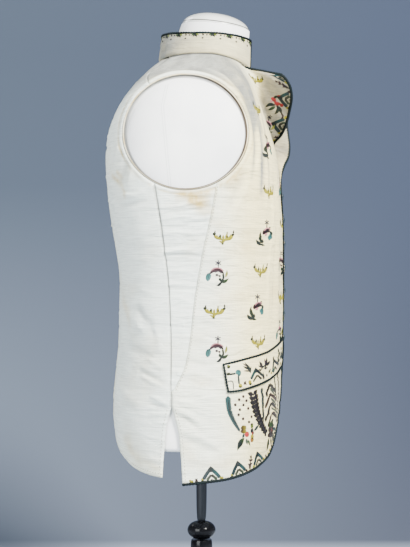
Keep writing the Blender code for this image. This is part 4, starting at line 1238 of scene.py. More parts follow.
def collar_plain(angle, rise):
    bottom = skin(angle, NECK) + (WALL + COLLAR_SEAT) * outward(angle, NECK)
    cos, sin = np.cos(np.radians(angle)), np.sin(np.radians(angle))
    top = COLLAR_TOP
    end_z = np.where(cos > 0, top["front_z"], top["back_z"])
    upper = np.stack([-top["half_width"] * sin,
                      (top["front_y"] + top["back_y"]) / 2 - (top["back_y"] - top["front_y"]) / 2 * cos,
                      top["side_z"] + (end_z - top["side_z"]) * cos**2], axis=-1)
    return between(rise[..., None], bottom, upper)


def collar_ground(angle, rise):
    """The collar's inner face, crumpled, and its normal, by degrees and a share of the height."""
    angle, rise = np.broadcast_arrays(np.asarray(angle, float), np.asarray(rise, float))
    along = collar_plain(angle + 0.5, rise) - collar_plain(angle - 0.5, rise)
    normal = unit(np.cross(collar_plain(angle, rise + 0.05) - collar_plain(angle, rise - 0.05), along))
    height = np.zeros(angle.shape)
    size = (COLLAR_MM_PER_DEGREE, COLLAR_HEIGHT)
    place = np.stack([angle, rise], axis=-1) * size
    for start, end, width, depth in COLLAR_CRUMPLES:
        first, last = (np.array(point) * size for point in (start, end))
        run = last - first
        share = np.clip(((place - first) @ run) / (run @ run), 0, 1)
        away = np.linalg.norm(place - first - share[..., None] * run, axis=-1)
        height = height + depth * np.sin(math.pi * np.clip(share, 0.04, 0.96)) * hill(away, 0, width)
    wave = 0.5 * np.sin(angle / 13.0) * np.sin(angle / 5.1 + 2.0) * rising(rise, 0.3, 0.5)
    return collar_plain(angle, rise) + (height * rising(rise, 0, 0.2) + wave)[..., None] * normal, normal


def collar_marks(angle, rise):
    behind = hill(np.minimum(angle, 360 - angle), 150, 46)
    # browned behind the neck, with a brown line of painted shade along its foot, where it is sewn on
    stain_and_shade = behind * (0.95 - 0.35 * rise) + 0.35 * hill(rise, 0, 0.25)
    return all_marks(np.full(angle.shape, 0.8), stain_and_shade, 0.5 + 0.5 * behind)


collar_net = np.stack(np.meshgrid(np.linspace(COLLAR_OPENING, 360 - COLLAR_OPENING, COLLAR_STEPS[1] + 1),
                                  np.linspace(0, 1, COLLAR_STEPS[0] + 1)), axis=-1)
collar = cloth_sheet("collar_cloth", collar_net, collar_ground, collar_marks, CREAM_CLOTH, wall=COLLAR_WALL,
                     sewn=False)
for loop in collar.data.uv_layers["cloth"].data:
    loop.uv = (loop.uv[0] * COLLAR_MM_PER_DEGREE / MM_PER_DEGREE, loop.uv[1] * COLLAR_HEIGHT)
fitted(collar, "embroidered_cloth", "collar")

collar_rim = np.concatenate([collar_net[:-1, 0], collar_net[-1], collar_net[-2::-1, -1]])
rim_point, rim_normal = collar_ground(*collar_rim.T)
collar_cord = cord("collar_cord", rim_point + COLLAR_WALL * COLLAR_CORD_OUT * rim_normal,
                   plain_radius(COLLAR_CORD_RADIUS))

# ---- Silk embroidery ----
# Satin stitch on the fronts, flaps and collar: each limb, leaf, petal and knot is a low band of silk whose
# threads run across it. A motif is drawn flat in millimetres, y up, and then laid on the cloth.

SILKS = {
    "bottle": (34, 54, 54), "leaf": (44, 70, 44), "green": (86, 112, 56), "lime": (150, 160, 62),
    "olive": (74, 78, 34), "yellow": (190, 182, 30), "straw": (206, 200, 112), "maroon": (92, 38, 50),
    "purple": (84, 56, 76), "plum": (44, 28, 38), "blush": (222, 172, 176), "teal": (58, 110, 110),
    "aqua": (108, 164, 160), "slate": (54, 84, 88), "steel": (84, 80, 92), "brown": (84, 56, 46),
    "umber": (70, 62, 52), "sage": (104, 118, 98), "red": (184, 62, 60), "coral": (208, 92, 92),
    "orange": (178, 102, 50), "thread": (224, 218, 198),
}
SATIN_STEP, SATIN_FEWEST = 0.9, 5
SATIN_SPREAD, SATIN_EDGE = 1.35, 0.5  # how far the threads spread past the drawn width
SILK_RICHNESS, SILK_DEPTH = 1.5, 0.52  # threads shade one another, which deepens their colours
SILK_UNEVEN = (0.86, 1.12)
SATIN_ACROSS = np.array([-1.0, -0.62, 0.0, 0.62, 1.0])
SATIN_RISE = np.array([-0.35, 0.72, 1.0, 0.72, -0.35])
SATIN_PLUMP, SATIN_BASE, SATIN_HIGHEST = 0.34, 0.16, 0.75
SATIN_OVERLAP, MOST_OVERLAP = 0.02, 0.3
DOT_SIDES, DOT_SHOULDER, DOT_RISE = 8, 0.62, (-0.35, 0.75, 1.0)
DOT_PLUMP, DOT_BASE = 0.4, 0.25
FRILLS = {"frilled": ("leaf", 0.35), "feather": ("stem", 0.16), "spine": ("leaf", 0.5)}  # outline, depth

dye = np.random.default_rng(4)

# Twisted floss: fine threads across each band, glossy, each a little lighter or darker
silk = Finish("satin_silk", Sheen_Weight=0.04, Sheen_Roughness=0.3, Specular_IOR_Level=0.25)
run = silk.place("UV")
threads = silk.add("TexWave", {"Vector": silk.stretched(run, (1100.0, 220.0, 1.0)), "Scale": 1.0,
                               "Distortion": 1.2, "Detail": 2.0}, bands_direction="X")[0]
worn = silk.noise(silk.stretched(run, (900.0, 60.0, 1.0)), 1.0, 3.0)
light = silk.ranged(silk.plus(threads, worn), 0.4, 1.5, 0.74, 1.16)
SILK = silk.given(Base_Color=silk.toned(silk.painted("silk"), light),
                  Roughness=silk.ranged(worn, 0.2, 0.8, 0.38, 0.62), Normal=silk.bump(threads, 0.0002, 0.6))


def outline_shape(kind, share):
    """The width along a band, as a share of its widest."""
    if kind == "leaf":
        return np.sin(math.pi * np.clip(share, 0.01, 0.99) ** 0.8)
    if kind == "petal":
        return np.sqrt(np.clip(1 - (2 * share - 1) ** 2, 0.004, 1))
    return np.clip(np.minimum(share, 1 - share) / 0.06, 0.15, 1)


def shade(silks, share):
    """Colours that run from the first silk to the last, a little different on each band."""
    stops = np.array([srgb(*SILKS[name])[:3] for name in silks.split()])
    colours = read_off(share, np.linspace(0, 1, len(stops)), stops)
    return colours ** SILK_RICHNESS * SILK_DEPTH * dye.uniform(*SILK_UNEVEN)


class Needlework:
    """Silk gathered into one mesh: places on the cloth, heights above it, colours, and the way its threads
    lie, with the faces."""

    def __init__(self, most=SATIN_HIGHEST):
        self.rows, self.faces, self.count, self.most = [], [], 0, most

    def add(self, faces, *columns):
        for block in faces:
            self.faces += (block + self.count).tolist()
        self.rows.append(columns)
        self.count += len(columns[0])

    def band(self, lay, points, width, silks, kind, frill, lift):
        """A band of satin stitch along a smooth curve; a frill makes its edges toothed. A width may be a
        list, spread evenly along the band. What is sewn over other silk is lifted."""
        run = reached(np.diff(points, axis=0))
        steps = max(int(run[-1] / SATIN_STEP), SATIN_FEWEST)
        at = np.linspace(0, run[-1], steps + 1)
        line = read_off(at, run, np.asarray(points, float), spline)
        ahead = unit(np.gradient(line, axis=0))
        side = np.stack([-ahead[:, 1], ahead[:, 0]], axis=1)
        share = at / run[-1]
        widths = np.atleast_1d(width)
        width = np.interp(share, np.linspace(0, 1, len(widths)), widths)
        half = (SATIN_SPREAD * width / 2 + SATIN_EDGE) * outline_shape(kind, share)
        half = half * (1 + frill * np.cos(np.arange(steps + 1) * math.pi))
        across = half[:, None] * SATIN_ACROSS
        flat = line[:, None] + across[..., None] * side[:, None]
        rises = np.minimum(SATIN_PLUMP * half + SATIN_BASE, self.most)[:, None] * SATIN_RISE + lift
        lays = np.stack(np.broadcast_arrays(at[:, None], across), axis=-1)
        colours = np.repeat(shade(silks, share), len(SATIN_ACROSS), axis=0)
        grid = np.arange(across.size).reshape(across.shape)
        self.add([quads(grid)], lay(flat.reshape(-1, 2)), rises.ravel(), colours, lays.reshape(-1, 2))

    def dot(self, lay, centre, size, silks, lift):
        """A small round knot."""
        turns = np.arange(DOT_SIDES) * 2 * math.pi / DOT_SIDES
        size = size * SATIN_SPREAD + SATIN_EDGE
        ring = np.stack([np.cos(turns), np.sin(turns)], axis=1) * size / 2
        flat = np.concatenate([ring, ring * DOT_SHOULDER, np.zeros((1, 2))])
        high = min(DOT_PLUMP * size / 2 + DOT_BASE, self.most)
        rises = high * np.repeat(DOT_RISE, (DOT_SIDES, DOT_SIDES, 1)) + lift
        side = np.arange(DOT_SIDES)
        beside, over = (side + 1) % DOT_SIDES, side + DOT_SIDES
        walls = np.stack([side, beside, beside + DOT_SIDES, over], axis=1)
        crown = np.stack([over, beside + DOT_SIDES, np.full(DOT_SIDES, 2 * DOT_SIDES)], axis=1)
        colours = np.tile(shade(silks, np.zeros(1)), (len(flat), 1))
        self.add([walls, crown], lay(flat + centre), rises, colours, flat)

    def sew(self, lay, motif, lift=None):
        """Every row of a motif. Unless they are all lifted alike, each lies a little over the one before."""
        for count, (kind, width, silks, points) in enumerate(motif):
            raised = min(count * SATIN_OVERLAP, MOST_OVERLAP) if lift is None else lift
            if kind == "knot":
                for centre in points:
                    self.dot(lay, centre, width, silks, raised)
            else:
                self.band(lay, points, width, silks, *FRILLS.get(kind, (kind, 0.0)), raised)

    def finish(self, name, ground, thickness, side="right", slot="embroidered_cloth"):
        """The whole as one mesh on the outer face of the cloth that the ground describes."""
        places, rises, colours, lays = (np.concatenate(column) for column in zip(*self.rows))
        inner, normal = ground(*places.T)
        points = inner + (thickness + rises)[:, None] * normal
        faces = [face[::-1] for face in self.faces] if side == "left" else self.faces
        made = mesh_object(name, handed(points, side), faces, SILK, lays * MM, colours, "silk")
        return fitted(made, slot)


def row_of(kind):
    """A row of a motif: its width, its silks from start to end, and the points that it runs through."""
    def row(width, silks, *places):
        return kind, width, silks, np.reshape(places, (-1, 2))
    return row


leaf, petal, stem, knot, frilled, feather, spine = map(
    row_of, ("leaf", "petal", "stem", "knot", "frilled", "feather", "spine"))


def star(place, ray, kind, width, silks):
    """Six rays from a middle."""
    turns = np.radians(np.arange(0, 360, 60))
    return tuple(kind(width, silks, place, place + ray * np.array((math.sin(turn), math.cos(turn))))
                 for turn in turns)


SPRIG_STAR = star(np.array((0.5, 14.0)), 4.5, stem, 0.5, "steel")
FLOWER_SPRIG = SPRIG_STAR + (
    stem(0.7, "steel", 0.5, 11, 0.5, 6), stem(0.7, "blush", -9, 3.4, -4, 7, 3, 6.4, 7.4, 2.4),
    petal(2.8, "purple maroon plum", -11, -1.6, -7.5, 2.2, -2.5, 4.6, 3, 3.6, 7.4, -1.2),
    stem(1.4, "purple", -5, 1.5, 1, 3, 5, 0), petal(2.2, "purple", -1.5, -1.2, -1.5, -4.6),
    petal(1.6, "maroon", 2, -2.6, 2, -5.8), petal(4.2, "teal aqua", -11.4, 0, -12.6, -5, -13.6, -11.5),
    leaf(1.5, "slate", -12.2, -3, -13.4, -11), stem(0.8, "aqua", -9.6, -2, -10.6, -8),
    stem(1.4, "leaf bottle", 6.2, -1, 7, -6, 4, -13, 0.5, -16.5),
    leaf(2.6, "leaf green", 4, -13, 8.5, -11.8, 14, -7.6),
    leaf(2, "bottle", 4, -14.4, 1, -16.8, -2.6, -18.2), leaf(2.2, "leaf", 2.2, -6.4, 2.6, -9.6, 4, -12.8),
    leaf(1.7, "straw lime", 9.6, -6.2, 11.2, -1, 11.8, 4.4),
)
BUD_SPRIG = SPRIG_STAR + (
    stem(0.7, "steel", 0.5, 11, 0.5, 6), stem(0.7, "blush", -4, 1.4, -1, 5.2, 4, 6.2, 8, 4),
    petal(4.6, "maroon plum maroon", -5.8, -3.2, -2.6, 0.8, 1.6, 2.6, 7, 1.6),
    petal(1.6, "blush", -3, -4.6, 2, -1.4), leaf(1.2, "purple", 4.6, 6.4, 8, 7.6),
    leaf(2.2, "slate leaf", 6.6, 2.6, 8.8, -1.4, 8.4, -5),
    petal(3.6, "teal aqua", 7, -1.6, 7.4, -7, 6, -11.6), leaf(1.2, "aqua", 5.2, -3, 4, -8.6),
    leaf(2.8, "leaf olive", -6.4, -16, -9.6, -8, -9.4, 1.4), leaf(1.8, "bottle", -5.4, -16, -5.6, -9.6),
    leaf(3, "bottle leaf", -6, -17.4, -11.4, -15.6, -15.4, -10.4), leaf(2.2, "leaf", -9, -16.6, -2, -18.4),
)
YELLOW_SPRIG = (
    stem(1.8, "olive yellow", -1.5, -10.6, -1.2, -6, -1.6, -1.8),
    leaf(1.4, "yellow", -2.2, -8.6, -4.4, -5.8, -7, -5),
    leaf(1.8, "yellow", -1.4, -8.2, 0.6, -4.8, 4.4, -4),
    petal(2.8, "yellow", -1.5, -3.6, -5, -1.8, -9, -0.6, -12.6, 4),
    petal(3, "yellow", -1, -3.8, 3, -3, 8.4, -1.4, 13, 4.4), leaf(1.6, "lime", -4, -2.6, -4.8, 5),
    leaf(1.8, "yellow", -0.6, -3, -0.4, 3.6), leaf(2.4, "yellow", 3.6, -3, 4.6, 6.4),
    leaf(1.8, "yellow", 7.6, -2, 9.8, 4.6), leaf(1.4, "yellow", -8, -1, -9.2, 4),
    petal(3, "olive", -13.4, 6.4, -11, 2.6), petal(3, "olive", -6, 2.4, -3.6, 0.4),
    petal(2.4, "olive", 3.4, 1.6, 5.6, 0), petal(2.8, "olive", 11.4, 5.2, 13.2, 1.8),
    leaf(0.8, "olive", -12, 5.4, -10.8, 9.6), leaf(0.9, "olive", 13, 5, 13.2, 10.4),
    leaf(0.7, "lime", 4.4, 4.6, 4.8, 8.4),
)
RED_BOUQUET = (
    petal(4.6, "coral red", -8, 4, -4, 3, -1, -1), petal(4.2, "coral red", -2, -1, 3, -3, 8, -2),
    petal(4, "red", 7, -3, 12, -5), knot(2.4, "blush", 2, 0.6, -6, -1.6),
    leaf(2.6, "olive leaf", -4, 3.6, -1, 8, 4, 10), leaf(1.6, "red", 0, 9, 6, 11.6),
    leaf(3.4, "bottle leaf", 1, -6, -7, -7, -13, -13), leaf(2.8, "green leaf", 1, -8, -4, -13, -8, -16),
    leaf(3.4, "bottle olive", 2, -6, 8, -11, 12, -18), leaf(2.6, "leaf olive", 4, -9, 5, -15, 2, -20),
    stem(1.2, "brown", 11, -16, 14, -20, 13, -25),
)
# How much wider each motif is sewn, then degrees round the body and height
SPRIG_PLACES = (
    (YELLOW_SPRIG, 1.08, ((74.7, 581), (79.9, 477), (44.2, 753), (43.6, 647), (50.6, 535), (53.6, 433),
                          (17, 601), (24.5, 496))),
    (FLOWER_SPRIG, 1.08, ((77.9, 531), (78.5, 425), (16, 655), (21.6, 546), (26.7, 446))),
    (BUD_SPRIG, 1.35, ((39.8, 708), (47.2, 589), (53.6, 483))),
)
# Height and millimetres from the edge
CORNER_PLACES = ((YELLOW_SPRIG, 811, 51), (RED_BOUQUET, 787, 22), (FLOWER_SPRIG, 752, 27))


def laid(angle, up, across=(-1.0, 0.0), upward=(0.0, 1.0), stretch=1.0):
    """Puts a flat motif at a place on the cloth, with its x and y along these directions of the cloth."""
    scale = mm_per_degree(angle, up)

    def lay(flat):
        east, north = (stretch * flat[:, 0] * across[axis] + flat[:, 1] * upward[axis] for axis in (0, 1))
        return np.stack([angle + east / scale, up + north], axis=1)
    return lay


def add_sprigs(work):
    for motif, stretch, places in SPRIG_PLACES:
        for angle, height in places:
            work.sew(laid(angle, up_at("front_z", height), stretch=stretch), motif)
    edge, edge_ups = FRONT_NET[:, 0].T
    for motif, height, inward in CORNER_PLACES:
        up = up_at("front_z", height)
        angle = np.interp(up, edge_ups, edge) + inward / mm_per_degree(0.0, up)
        work.sew(laid(angle, up), motif)


# The border stands on the edge: x runs along it and y into the cloth. Its arches are one inside another.
ARCH = (
    stem(3.6, "slate slate bottle", -11.6, 4, -6, 11.6, 0, 18.4),
    stem(3.6, "slate teal bottle", 11.6, 4, 6, 11.6, 0, 18.4), leaf(5.6, "bottle", 0, 13, 0, 22),
    stem(2.4, "sage umber", -7, 2.4, 0, 9.6), stem(2.4, "sage umber", 7, 2.4, 0, 9.6),
    petal(1.6, "sage", 0, 2.2, 0, 4),
)
STRAW_DOTS = (
    knot(2.6, "yellow", -8.6, 4.4, 8, 4.4), petal(2.2, "yellow", -7.8, 2, -4.6, 4.6),
    petal(2, "olive", 6, 1.8, 10.4, 2.6), petal(1.8, "olive", -9.6, 1.8, -6.4, 1.8),
)
CROSS_BETWEEN = (leaf(1.5, "brown", -2, 1.6, 2, 7), leaf(1.5, "brown", 2, 1.6, -2, 7),)
LEAFY_SPRIG = (
    stem(1.1, "brown", -1, 1.6, 0.6, 8, 4.6, 16, 7.6, 21),
    frilled(3.4, "plum purple", -1, 2, 0.4, 7, 3.4, 13), leaf(1.7, "purple", 1, 8, -3, 12),
    leaf(1.7, "purple", 1.4, 9, 6.6, 10), leaf(1.6, "brown", 3.2, 13, 0.4, 18),
    leaf(1.6, "purple", 3.6, 13.4, 8.6, 14.6), leaf(1.4, "brown", 5.4, 17, 4, 22),
    knot(2.8, "brown", -7.4, 3.4), knot(3, "yellow", 8.6, 4), leaf(1.6, "lime", 5, 2, 10, 4.6),
)
BORDER_PITCH = 42.0
BORDER_GAPS = (STRAW_DOTS + CROSS_BETWEEN, STRAW_DOTS, LEAFY_SPRIG)
HEM_START, EDGE_START = 20.0, 14.0
PLAIN_EDGE, PLAIN_MARGIN = (315, 385), 12  # the border leaves these heights of the edge to the panel
CHAIN_LEAF = (petal(3.6, "plum", 0, -4.6, 1.4, 0, 0, 4.6), knot(2.6, "bottle", 2.6, 0),)
CHAIN_START, CHAIN_PITCH = 2.0, 5.6
WAY_REACH = 4  # how far before and after a place the edge's way is read


def along_edge(line, start, pitch):
    """Places every `pitch` millimetres along an edge: (angle, up), the way along it and the way in."""
    scale = mm_per_degree(*line.T)
    run = reached(np.diff(line, axis=0) * np.stack([scale[:-1], np.ones(len(line) - 1)], axis=1))
    for at in np.arange(start, run[-1], pitch):
        here, before, after = (read_off(at + shift, run, line) for shift in (0, -WAY_REACH, WAY_REACH))
        way = unit((after - before) * (np.interp(at, run, scale), 1))
        yield here, way, np.array([way[1], -way[0]])


def add_border(work):
    low, high = up_at("front_z", PLAIN_EDGE)
    for line, start in ((FRONT_NET[0, ::-1], HEM_START), (FRONT_NET[:, 0], EDGE_START)):
        for count, (here, way, inward) in enumerate(along_edge(line, start, BORDER_PITCH / 2)):
            if start == EDGE_START and low - PLAIN_MARGIN < here[1] < high + PLAIN_MARGIN:
                continue
            motif = ARCH if count % 2 else BORDER_GAPS[count // 2 % len(BORDER_GAPS)]
            work.sew(laid(*here, way, inward), motif)


# Below the flap: feathered bands, a field of dots, a laurel, nested chevrons and a small bouquet
PANEL_START = (74.2, 363)  # degrees and height of the flap's lower back corner
FEATHERS = (
    feather((6.4, 6.0, 5.2, 4.2, 2.4), "teal teal slate", 0.4, -3, 0.6, -14, 3.4, -28, 9.1, -40, 18, -54),
    feather((4.6, 4.4, 3.0), "slate slate bottle", 60.6, 6, 61.6, -5, 62.6, -19, 64.4, -42),
)
FEATHER_SPINES = (
    spine(1.7, "bottle", 0.6, -7, 1, -15, 4, -29, 9.6, -40, 16, -51),
    spine(1.2, "bottle", 60.8, 4, 61.8, -8, 63.8, -36),
)
PANEL_DOTS = (
    knot(3, "brown", 24, -5, 17, -9, 29, -11, 11, -16, 24, -17, 32, -22),
    knot(3, "brown", 18, -23, 38, -34, 23, -36, 33, -41, 38, -45, 16, -30),
)
CHEVRONS = (
    stem(4.8, "umber", 84, 9, 71, -8), stem(4.2, "umber", 84, 9, 111, -3),
    stem(4.8, "brown", 85, -5, 69, -24), stem(4.2, "brown", 85, -5, 122, -17),
    stem(4.8, "umber", 90, -18, 68.4, -43), stem(4.2, "umber", 90, -18, 124, -29),
    stem(4.8, "brown", 93.6, -32, 80, -52), stem(4.2, "brown", 93.6, -32, 126, -41),
    stem(2.6, "sage", 85, 3, 112, -9), stem(2.6, "sage", 87, -11.6, 122, -23),
    stem(2.6, "sage", 92, -25, 124, -35),
)
LAUREL = np.array(((42, -3), (44, -13), (49, -29), (61, -48), (74, -60)), float)
LAUREL_PAIRS, LAUREL_SIZE, LAUREL_TAPER = 12, 7.4, 3.2
LAUREL_LEAF = ((0, 0), (-0.2, 0.6), (-0.6, 1.35))  # along the stem and out from it, for a size of one
EDGE_STRIPE = (stem(4.6, "slate bottle", 104, 24, 106, 16, 111, 1.5, 121, -14),)
EDGE_CHAIN = ((124, 26), (131, 14), (137, 2), (137, -16), (132, -36), (126, -50))
PANEL_BOUQUET = (
    petal(5, "brown yellow", 19, -49.6, 24, -48.4, 28, -51),
    petal(4.6, "brown yellow", 18.6, -54, 23, -53.4, 28.6, -54.6), knot(3.8, "brown", 21.6, -52.4),
    knot(6.4, "coral", 29.6, -58.2), knot(3, "red", 29.4, -58.6),
    petal(4.6, "yellow", 36, -62.8, 42.4, -61.6), petal(4.8, "orange yellow", 35.6, -66.6, 42.6, -66.4),
    knot(3.6, "brown", 39.6, -64.6), petal(4.6, "plum slate", 36, -53, 41.6, -54.2),
    petal(3.6, "red purple", 38, -57.6, 43, -56.4), petal(4.2, "slate", 21.4, -58.8, 25.2, -60.6),
    leaf(5.2, "green bottle leaf", 24.6, -63, 19.3, -68, 12.6, -80),
    leaf(2.6, "sage", 28.4, -64, 29.8, -73), leaf(2, "green", 32, -66, 34.6, -75),
    leaf(3.4, "lime green", 36.6, -50, 40.6, -43.6), leaf(2.8, "slate", 42.6, -54, 49, -50, 54.6, -45),
)
EDGE_BOUQUET = (
    petal(6.4, "umber brown orange", 80, -57, 88, -55.6, 99, -58),
    petal(6.4, "brown umber brown", 79, -64.6, 88, -63.6, 100, -65.6),
    knot(5, "brown", 86.4, -60.6, 95.6, -61.6), leaf(8, "green bottle", 90, -54, 95, -48, 103, -42),
    leaf(6.4, "green", 87, -53, 84, -42), leaf(4.6, "bottle", 96, -55, 107, -51),
    leaf(5.4, "leaf olive", 84, -68, 81, -78, 77, -86), leaf(5, "olive bottle", 92, -68, 96, -82),
    leaf(4, "umber", 99, -67, 107, -74),
)


def laurel():
    """Leaves in pairs along a stem, smaller towards its end, and the stem over them."""
    run = reached(np.diff(LAUREL, axis=0))
    for count in range(LAUREL_PAIRS):
        at = run[-1] * count / (LAUREL_PAIRS - 1)
        here, ahead = (read_off(np.array([at + shift]), run, LAUREL, spline)[0] for shift in (0, 2))
        way = unit(ahead - here) if at < run[-1] - 2 else way
        out = np.array([-way[1], way[0]])
        size = LAUREL_SIZE - LAUREL_TAPER * count / LAUREL_PAIRS
        for hand in (-1, 1):
            yield leaf(5.2, "plum", *(here + back * way * size + hand * out * size * aside
                                      for back, aside in LAUREL_LEAF))
    yield stem(2.2, "plum", *LAUREL)


def add_panel(work):
    angle, height = PANEL_START
    lay = laid(angle, up_at("front_z", height))
    for motif, lift in ((FEATHERS, 0.0), (FEATHER_SPINES, 0.25), (PANEL_DOTS, 0.15), (laurel(), 0.0),
                        (CHEVRONS, 0.0), (EDGE_STRIPE, 0.0)):
        work.sew(lay, motif, lift)
    for here, way, inward in along_edge(lay(np.array(EDGE_CHAIN, float)), CHAIN_START, CHAIN_PITCH):
        work.sew(laid(*here, way, inward), CHAIN_LEAF)
    work.sew(lay, PANEL_BOUQUET)
    work.sew(lay, EDGE_BOUQUET)


for side in SIDES:
    work = Needlework(most=0.45)
    add_border(work)
    add_sprigs(work)
    add_panel(work)
    work.finish("embroidery_front_" + side, front_ground(side), WALL, side)

# On the flap: x runs from its back end towards the front edge, y from its lower edge
FLAP_LENGTH, FLAP_HEIGHT = 145.0, 39.0
FLAP_MOTIF = (
    stem(0.5, "steel", 1.6, 14.6, 7.6, 14.2, 7.8, 2.6), knot(3.6, "olive", 6, 34),
    leaf(1.8, "lime", 3.6, 36, 9, 35), leaf(3, "olive", 1.8, 23.6, 7, 26),
    petal(4.2, "aqua teal", 14.6, 23.4, 21.4, 26), petal(3.8, "teal aqua slate", 21.4, 26.6, 18.4, 18.6),
    stem(1.4, "slate bottle", 14.6, 23.4, 5, 23.8), stem(1.4, "bottle slate", 18, 20, 17, 8.4),
    knot(4.2, "yellow", 18.6, 6, 34.2, 7), leaf(2.2, "olive", 15.6, 5.4, 21, 4),
    leaf(2.2, "olive", 32, 4.6, 37.6, 4.6), leaf(1.5, "brown", 23.6, 6, 28.6, 10.6),
    leaf(1.5, "brown", 28, 5.4, 24.4, 10.4), leaf(2.6, "bottle leaf", 38, 18.4, 34.6, 27.4, 30.6, 35.6),
    leaf(1.6, "leaf", 37.4, 19.6, 39, 27.6), leaf(1, "plum", 35.6, 24, 26, 31),
    leaf(0.9, "brown", 36.6, 21.6, 27, 24.6), leaf(0.8, "purple", 34, 28, 27, 34.6),
    stem(2.6, "slate teal bottle", 36.6, 10.4, 41.6, 15.6, 47, 21.4),
    stem(2.4, "bottle slate", 47, 21.4, 53.6, 15.6, 60.4, 9), leaf(3.8, "bottle", 47, 16.6, 47.2, 24.4),
    stem(1.7, "sage umber", 40, 6, 48.6, 13.4), stem(1.7, "umber bottle", 48.6, 13.4, 56, 6),
    frilled(2.8, "plum", 60.6, 4, 61, 14), stem(1, "bottle", 55, 17, 61, 21, 70, 23),
    leaf(3.4, "plum", 61, 21.4, 56.6, 30.4), leaf(1.2, "brown", 60, 21, 52, 25.6),
    leaf(3.6, "plum", 66, 20, 70, 24, 74.4, 32), leaf(1.3, "purple", 68, 22, 68.4, 32),
    leaf(3, "plum", 71, 20.6, 81.4, 25), leaf(2.4, "plum", 64, 19, 73, 17.4),
    leaf(1.2, "purple", 56.4, 18, 52.6, 20.6), knot(2.6, "yellow", 78, 11, 82.6, 7),
    leaf(2.4, "olive", 74.4, 9, 80.6, 14), knot(2.4, "leaf", 69, 7.6),
    stem(2.8, "teal slate bottle", 86, 7, 90, 14, 94, 22.4),
    stem(2.8, "bottle slate", 94, 22.4, 104, 15.6, 115, 10), leaf(4, "bottle", 94, 18, 94.2, 28),
    stem(1.8, "sage", 89.6, 4.6, 96.6, 12), stem(1.8, "umber", 96.6, 12, 104, 6),
    frilled(3.4, "bottle leaf", 110, 8, 113, 19, 118, 30), leaf(2.8, "bottle", 114, 21, 123, 26),
    leaf(2.6, "plum", 112, 15, 121, 15), leaf(2.4, "leaf", 116, 27, 112, 34),
    knot(3.6, "yellow", 126, 8, 130, 28), knot(3, "olive", 132, 18),
    stem(2.6, "slate bottle", 125, 14, 131, 22, 137, 12),
)


def on_flap(flat):
    """(angle, up) for a place on the flap in its own millimetres."""
    share = np.clip(1 - flat[:, 0] / FLAP_LENGTH, 0, 1) * FLAP_STEPS[1]
    rise = np.clip(flat[:, 1] / FLAP_HEIGHT, 0, 1)[:, None]
    at = np.arange(FLAP_STEPS[1] + 1)
    return between(rise, read_off(share, at, FLAP_NET[0]), read_off(share, at, FLAP_NET[-1]))


for side in SIDES:
    work = Needlework()
    work.sew(on_flap, FLAP_MOTIF)
    work.finish("embroidery_flap_" + side, front_ground(side, WALL + FLAP_GAP), FLAP_WALL,
                                   side)

# On the collar: x runs from the right front end round the neck, y from the seam. Tufts of green hang from
# the top edge, with a pair of dark knots between them.
TUFT_START, TUFT_PITCH, TUFT_DROP, TUFT_END = 6.0, 25.0, 1.6, 16
TUFT = (
    leaf(1.9, "bottle", 0, 0, -3.4, -6.4), leaf(1.9, "bottle", 0, 0, 2.8, -5.6),
    leaf(1.6, "lime", -1.4, -0.4, -6.4, -3.4), leaf(1.6, "green", 1.4, -0.4, 5.8, -3.2),
    leaf(1.4, "leaf", 0, -1, -0.6, -5), knot(1.8, "bottle", 8, -2.4),
    knot(2.1, "plum", 13.4, -2.2, 13.4, -8),
)


def on_collar(start):
    """Puts a flat motif on the collar, hanging from its top edge this far round."""
    def lay(flat):
        x, y = (flat + (start, COLLAR_HEIGHT - TUFT_DROP)).T
        return np.stack([COLLAR_OPENING + x / COLLAR_MM_PER_DEGREE, y / COLLAR_HEIGHT], axis=1)
    return lay


work = Needlework()
for start in np.arange(TUFT_START, (360 - 2 * COLLAR_OPENING) * COLLAR_MM_PER_DEGREE - TUFT_END, TUFT_PITCH):
    work.sew(on_collar(start), TUFT)
collar_silk = work.finish("embroidery_collar", collar_ground, COLLAR_WALL)

# ---- Buttons ----
# Seven flat buttons covered with the fronts' cloth, each with a small star worked on its face. They are
# closed; each would come back through its buttonhole and the left front would swing open.

BUTTONS, BUTTON_RADIUS, BUTTON_HIGH = 7, 6.0, 1.5
STAR = star(np.zeros(2), 4.2, leaf, 1.3, "leaf teal")


def button(name, seat):
    """The upper part of a flattened ball, cut off flat at the back and turned to face forwards."""
    bpy.ops.object.select_all(action="DESELECT")
    bpy.ops.mesh.primitive_uv_sphere_add(segments=32, ring_count=16, radius=BUTTON_RADIUS * MM)
    made = bpy.context.object
    made.name = made.data.name = name
    bpy.ops.object.mode_set(mode="EDIT")
    bpy.ops.mesh.select_all(action="SELECT")
    bpy.ops.mesh.bisect(plane_co=(0, 0, 0), plane_no=(0, 0, 1), clear_inner=True, use_fill=True)
    bpy.ops.mesh.select_all(action="SELECT")
    bpy.ops.transform.resize(value=(1, 1, BUTTON_HIGH / BUTTON_RADIUS), center_override=(0, 0, 0))
    bpy.ops.transform.rotate(value=math.pi / 2, orient_axis="X", center_override=(0, 0, 0))
    bpy.ops.transform.translate(value=tuple(seat * MM))
    bpy.ops.mesh.normals_make_consistent(inside=False)
    bpy.ops.object.mode_set(mode="OBJECT")
    bpy.ops.object.shade_smooth_by_angle(angle=math.radians(50))
    made.data.materials.append(BINDING_CLOTH)
    return made


def button_seat(cad_node):
    """The middle of a button's back, in millimetres."""
    low, high = (np.array(corner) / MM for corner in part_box(cad_node))
    return np.array([(low[0] + high[0]) / 2, high[1], (low[2] + high[2]) / 2])


seats = np.array([button_seat(f"button_{number}") for number in range(1, BUTTONS + 1)])


